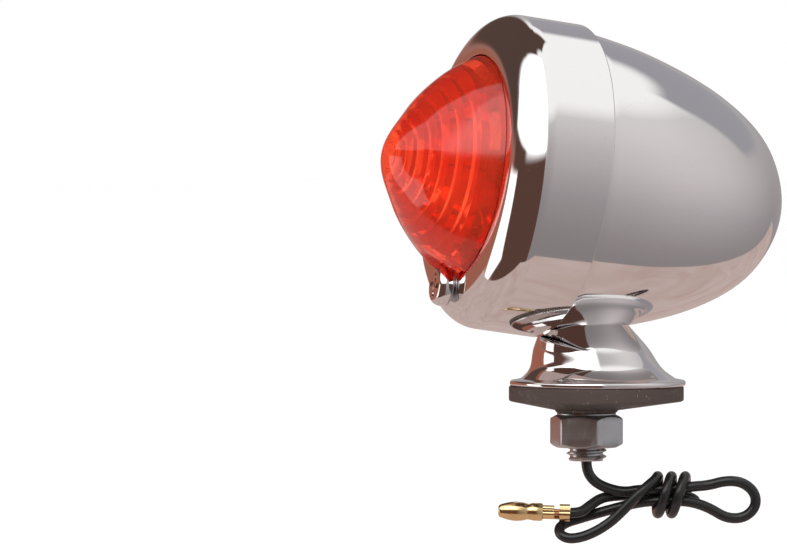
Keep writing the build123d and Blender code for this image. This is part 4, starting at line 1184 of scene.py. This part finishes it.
def soft_lamp(name, offset, size, power):
    """A square area light aimed at the lamp, its place given along and near the lead's plane and up."""
    light = bpy.data.lights.new(name, "AREA")
    light.energy = power
    light.size = size
    thing = bpy.data.objects.new(name, light)
    along, near, height = offset
    reach = LEAD_NEAR * near + UP * height + LEAD_ALONG * along
    thing.location = LAMP + reach
    thing.rotation_euler = reach.to_track_quat("Z", "Y").to_euler()
    thing.visible_glossy = False
    bpy.context.scene.collection.objects.link(thing)


class TURNSIGNAL_OT_camera(bpy.types.Operator):
    """Camera looking at the lamp's side from slightly in front"""
    bl_idname = "turn_signal.camera"
    bl_label = "Camera"

    def execute(self, context):
        view = context.scene.turn_signal_view
        frame_width = view.sensor / view.focal_length
        aside = view.stud_aside * frame_width
        below = view.stud_below * frame_width
        yaw = view.turn + math.atan(aside)
        pitch = view.tilt - math.atan(below / math.hypot(1, aside))
        look = Vector((-math.sin(yaw) * math.cos(pitch), math.cos(yaw) * math.cos(pitch), -math.sin(pitch)))
        right = Vector((math.cos(yaw), math.sin(yaw), 0))
        down = look.cross(right)
        camera = bpy.data.cameras.new("camera")
        camera.lens = view.focal_length
        camera.sensor_width = view.sensor
        camera.clip_end = 50
        thing = bpy.data.objects.new("camera", camera)
        turn = Matrix((right, -down, -look)).transposed().to_4x4()
        place = -(look + right * aside + down * below) * view.distance
        thing.matrix_world = Matrix.Translation(place) @ turn
        context.scene.collection.objects.link(thing)
        context.scene.camera = thing
        return {"FINISHED"}


class TURNSIGNAL_OT_stage(bpy.types.Operator):
    """Pale floor, soft lights and the surroundings that the chrome mirrors"""
    bl_idname = "turn_signal.stage"
    bl_label = "Stage"

    def execute(self, context):
        view = context.scene.turn_signal_view
        floor_height = cad_low.z - view.floor_gap
        mesh = bmesh.new()
        bmesh.ops.create_grid(
            mesh, x_segments=1, y_segments=1, size=view.floor_half,
            matrix=Matrix.Translation((0, 0, floor_height)),
        )
        pale, _, surface = new_material("pale_floor")
        surface.inputs["Base Color"].default_value = (1, 1, 1, 1)
        surface.inputs["Roughness"].default_value = 0.9
        floor = linked("floor", mesh, pale)
        floor.visible_glossy = False
        surroundings(view, floor_height)
        world = bpy.data.worlds.new("studio")
        world.use_nodes = True
        backdrop = world.node_tree.nodes["Background"]
        backdrop.inputs["Color"].default_value = (1, 1, 1, 1)
        backdrop.inputs["Strength"].default_value = 1.0
        context.scene.world = world
        soft_lamp("key", (-0.35, 0.5, 0.5), 0.45, 7.0)
        soft_lamp("fill", (0.4, 0.6, 0.1), 0.5, 3.0)
        context.scene.view_settings.view_transform = "Standard"
        return {"FINISHED"}


# Settings and panel -----------------------------------------------------------------------------


def size_setting(name, description, default):
    """A length in mm."""
    return bpy.props.FloatProperty(name=name, description=description, default=default, min=0.0)


class TurnSignalSizes(bpy.types.PropertyGroup):
    """Sizes of the visible pieces, in mm"""
    housing_wall: size_setting("Housing wall", "Thickness of the drawn bowl in mm", 0.9)
    bezel_wall: size_setting("Bezel wall", "Thickness of the drawn bezel in mm", 0.8)
    bezel_corner: size_setting("Bezel corner", "Depth of the bezel's rounded front in mm", 7.0)
    opening_radius: size_setting("Opening radius", "Radius of the bezel's opening in mm", 22.6)
    lip_flat: size_setting("Lip flat", "Width of the flat ring round the opening in mm", 0.6)
    lug_radius: size_setting("Lug radius", "Radius of the lug that the screw passes through in mm", 4.3)
    lug_blend: size_setting("Lug blend", "Radius where the lug runs into the opening in mm", 2.6)
    lens_gap: size_setting("Lens gap", "Gap between lens and bezel in mm", 0.3)
    lens_wall: size_setting("Lens wall", "Thickness of the lens in mm", 2.2)
    flange_thickness: size_setting("Flange thickness", "Thickness of the pedestal's flange in mm", 1.1)
    scallop_radius: size_setting("Scallop radius", "Radius of the lens's scallop round the screw in mm", 6.3)
    reflector_wall: size_setting("Reflector wall", "Thickness of the reflector in mm", 0.5)
    reflector_bore: size_setting("Reflector bore", "Radius of the reflector's hole for the bulb in mm", 9.4)
    reflector_rim: size_setting("Reflector rim", "Width of the reflector's flat rim in mm", 3.4)
    reflector_bulge: size_setting(
        "Reflector bulge", "How far its face lies behind a straight cone in mm", 1.6)
    bulb_neck_radius: size_setting("Bulb neck radius", "Radius of the bulb glass's neck in mm", 7.0)
    bulb_neck_length: size_setting("Bulb neck length", "Length of the bulb glass's straight neck in mm", 7.5)
    bulb_wall: size_setting("Bulb wall", "Thickness of the bulb's glass in mm", 0.8)
    ring_spacing: size_setting("Ring spacing", "Distance from one moulded ring to the next in mm", 2.3)
    screw_head_radius: size_setting("Screw head radius", "Radius of the bezel screw's head in mm", 4.0)
    screw_shank_radius: size_setting("Screw shank radius", "Radius of the bezel screw's shank in mm", 2.0)
    screw_washer_radius: size_setting("Screw washer radius", "Radius of the washer under its head in mm", 3.8)
    cross_width: size_setting("Cross width", "Width of the cross recess's arms in mm", 1.1)
    cross_span: size_setting("Cross span", "Length of the cross recess's arms, tip to tip, in mm", 4.8)
    cross_depth: size_setting("Cross depth", "Depth of the cross recess in mm", 1.3)
    cross_taper: bpy.props.FloatProperty(
        name="Cross taper", description="Size of the recess's floor as a share of its mouth", default=0.62)
    cone_foot_radius: size_setting(
        "Cone foot radius", "Radius of the pedestal's cone at its foot in mm", 14.9)
    cone_foot_height: size_setting("Cone foot height", "Height of the cone's foot in mm", 7.3)
    cone_top_radius: size_setting("Cone top radius", "Radius of the cone under the bowl in mm", 8.8)
    saddle_height: size_setting("Saddle height", "Height of the bowl's underside in mm", 16.5)
    pad_edge_low: size_setting("Pad edge", "Height of the pad's lower edge in mm", 2.3)
    pad_bore: size_setting("Pad bore", "Radius of the pad's hole for the stud in mm", 4.3)
    pad_boss_radius: size_setting("Pad boss radius", "Radius of the pad's boss in mm", 6.2)
    stud_bore: size_setting("Stud bore", "Radius of the stud's hole for the lead in mm", 1.5)
    thread_pitch: size_setting("Thread pitch", "Rise of the stud's thread in one turn in mm", 1.25)
    nut_across_flats: size_setting("Nut size", "Width of the mounting nut across its flats in mm", 13.0)
    nut_seat_share: bpy.props.FloatProperty(
        name="Nut seat",
        description="Radius of the nut's flat face as a share of half its width", default=0.93)
    nut_chamfer: bpy.props.FloatProperty(
        name="Nut chamfer",
        description="Slope of the nut's chamfer", default=math.radians(30), subtype="ANGLE")
    nut_turn: bpy.props.FloatProperty(
        name="Nut turn", description="Turn from +X to the normal of one flat", default=math.radians(26.4),
        subtype="ANGLE")


def colour_setting(name, description, default):
    """A linear colour."""
    return bpy.props.FloatVectorProperty(
        name=name, description=description, default=default, subtype="COLOR", size=3, min=0.0, max=1.0)


class TurnSignalFinishes(bpy.types.PropertyGroup):
    """Colours of the finishes"""
    chrome: colour_setting("Chrome", "Colour that the chrome plate mirrors with", (0.80, 0.79, 0.79))
    zinc: colour_setting("Zinc", "Colour of the plated nut and washer", (0.60, 0.63, 0.64))
    brass: colour_setting("Brass", "Colour of the connector", (0.95, 0.70, 0.36))
    pad: colour_setting("Pad", "Colour of the rubber pad", (0.034, 0.022, 0.018))
    lead: colour_setting("Lead", "Colour of the wire's insulation", (0.006, 0.006, 0.006))


class TurnSignalView(bpy.types.PropertyGroup):
    """Camera and stage"""
    turn: bpy.props.FloatProperty(
        name="Turn", description="Camera's bearing round the stud", default=math.radians(69), subtype="ANGLE")
    tilt: bpy.props.FloatProperty(
        name="Tilt", description="How far the line of sight falls at the stud", default=math.radians(2.65),
        subtype="ANGLE")
    distance: bpy.props.FloatProperty(
        name="Distance", description="Camera to the stud's plane", default=1.2, unit="LENGTH")
    focal_length: bpy.props.FloatProperty(name="Focal length", description="Lens in mm", default=274.5)
    sensor: bpy.props.FloatProperty(name="Sensor", description="Sensor width in mm", default=36.0)
    stud_aside: bpy.props.FloatProperty(
        name="Stud aside",
        description="Stud right of the middle, as a share of the frame's width", default=0.2452)
    stud_below: bpy.props.FloatProperty(
        name="Stud below",
        description="Stud below the middle, as a share of the frame's width", default=0.1788)
    floor_gap: bpy.props.FloatProperty(
        name="Floor gap", description="Floor below the lead's lowest point", default=0.045, unit="LENGTH")
    floor_half: bpy.props.FloatProperty(
        name="Floor half width", description="Half the floor's width", default=15.0, unit="LENGTH")
    dome_radius: bpy.props.FloatProperty(
        name="Dome radius", description="Radius of the mirrored surroundings", default=0.8, unit="LENGTH")
    table_rise: bpy.props.FloatProperty(
        name="Table rise", description="Mirrored table over the floor", default=0.001, unit="LENGTH")


class TURNSIGNAL_PT_panel(bpy.types.Panel):
    """Builds the turn signal piece by piece"""
    bl_label = "Turn Signal"
    bl_idname = "TURNSIGNAL_PT_panel"
    bl_space_type = "VIEW_3D"
    bl_region_type = "UI"
    bl_category = "Turn Signal"

    def draw(self, context):
        scene = context.scene
        for settings in (scene.turn_signal_sizes, scene.turn_signal_finishes, scene.turn_signal_view):
            box = self.layout.box()
            for name in settings.bl_rna.properties.keys():
                if name not in ("rna_type", "name"):
                    box.prop(settings, name)
        for operator in OPERATORS:
            self.layout.operator(operator.bl_idname)


OPERATORS = (
    TURNSIGNAL_OT_camera,
    TURNSIGNAL_OT_lead,
    TURNSIGNAL_OT_housing,
    TURNSIGNAL_OT_bezel,
    TURNSIGNAL_OT_lens,
    TURNSIGNAL_OT_screw,
    TURNSIGNAL_OT_reflector,
    TURNSIGNAL_OT_bulb,
    TURNSIGNAL_OT_pedestal,
    TURNSIGNAL_OT_pad,
    TURNSIGNAL_OT_fixings,
    TURNSIGNAL_OT_inner_parts,
    TURNSIGNAL_OT_stage,
)
SETTINGS = {
    "turn_signal_sizes": TurnSignalSizes,
    "turn_signal_finishes": TurnSignalFinishes,
    "turn_signal_view": TurnSignalView,
}


def register():
    """Make the settings, operators and panel known."""
    for name, group in SETTINGS.items():
        bpy.utils.register_class(group)
        setattr(bpy.types.Scene, name, bpy.props.PointerProperty(type=group))
    for operator in OPERATORS:
        bpy.utils.register_class(operator)
    bpy.utils.register_class(TURNSIGNAL_PT_panel)


def unregister():
    """Take them away again."""
    bpy.utils.unregister_class(TURNSIGNAL_PT_panel)
    for operator in reversed(OPERATORS):
        bpy.utils.unregister_class(operator)
    for name, group in SETTINGS.items():
        delattr(bpy.types.Scene, name)
        bpy.utils.unregister_class(group)


def main():
    """Build every piece and the stage."""
    register()
    for operator in OPERATORS:
        group, action = operator.bl_idname.split(".")
        getattr(getattr(bpy.ops, group), action)()
    bpy.context.view_layer.update()


if __name__ == "__main__":
    main()
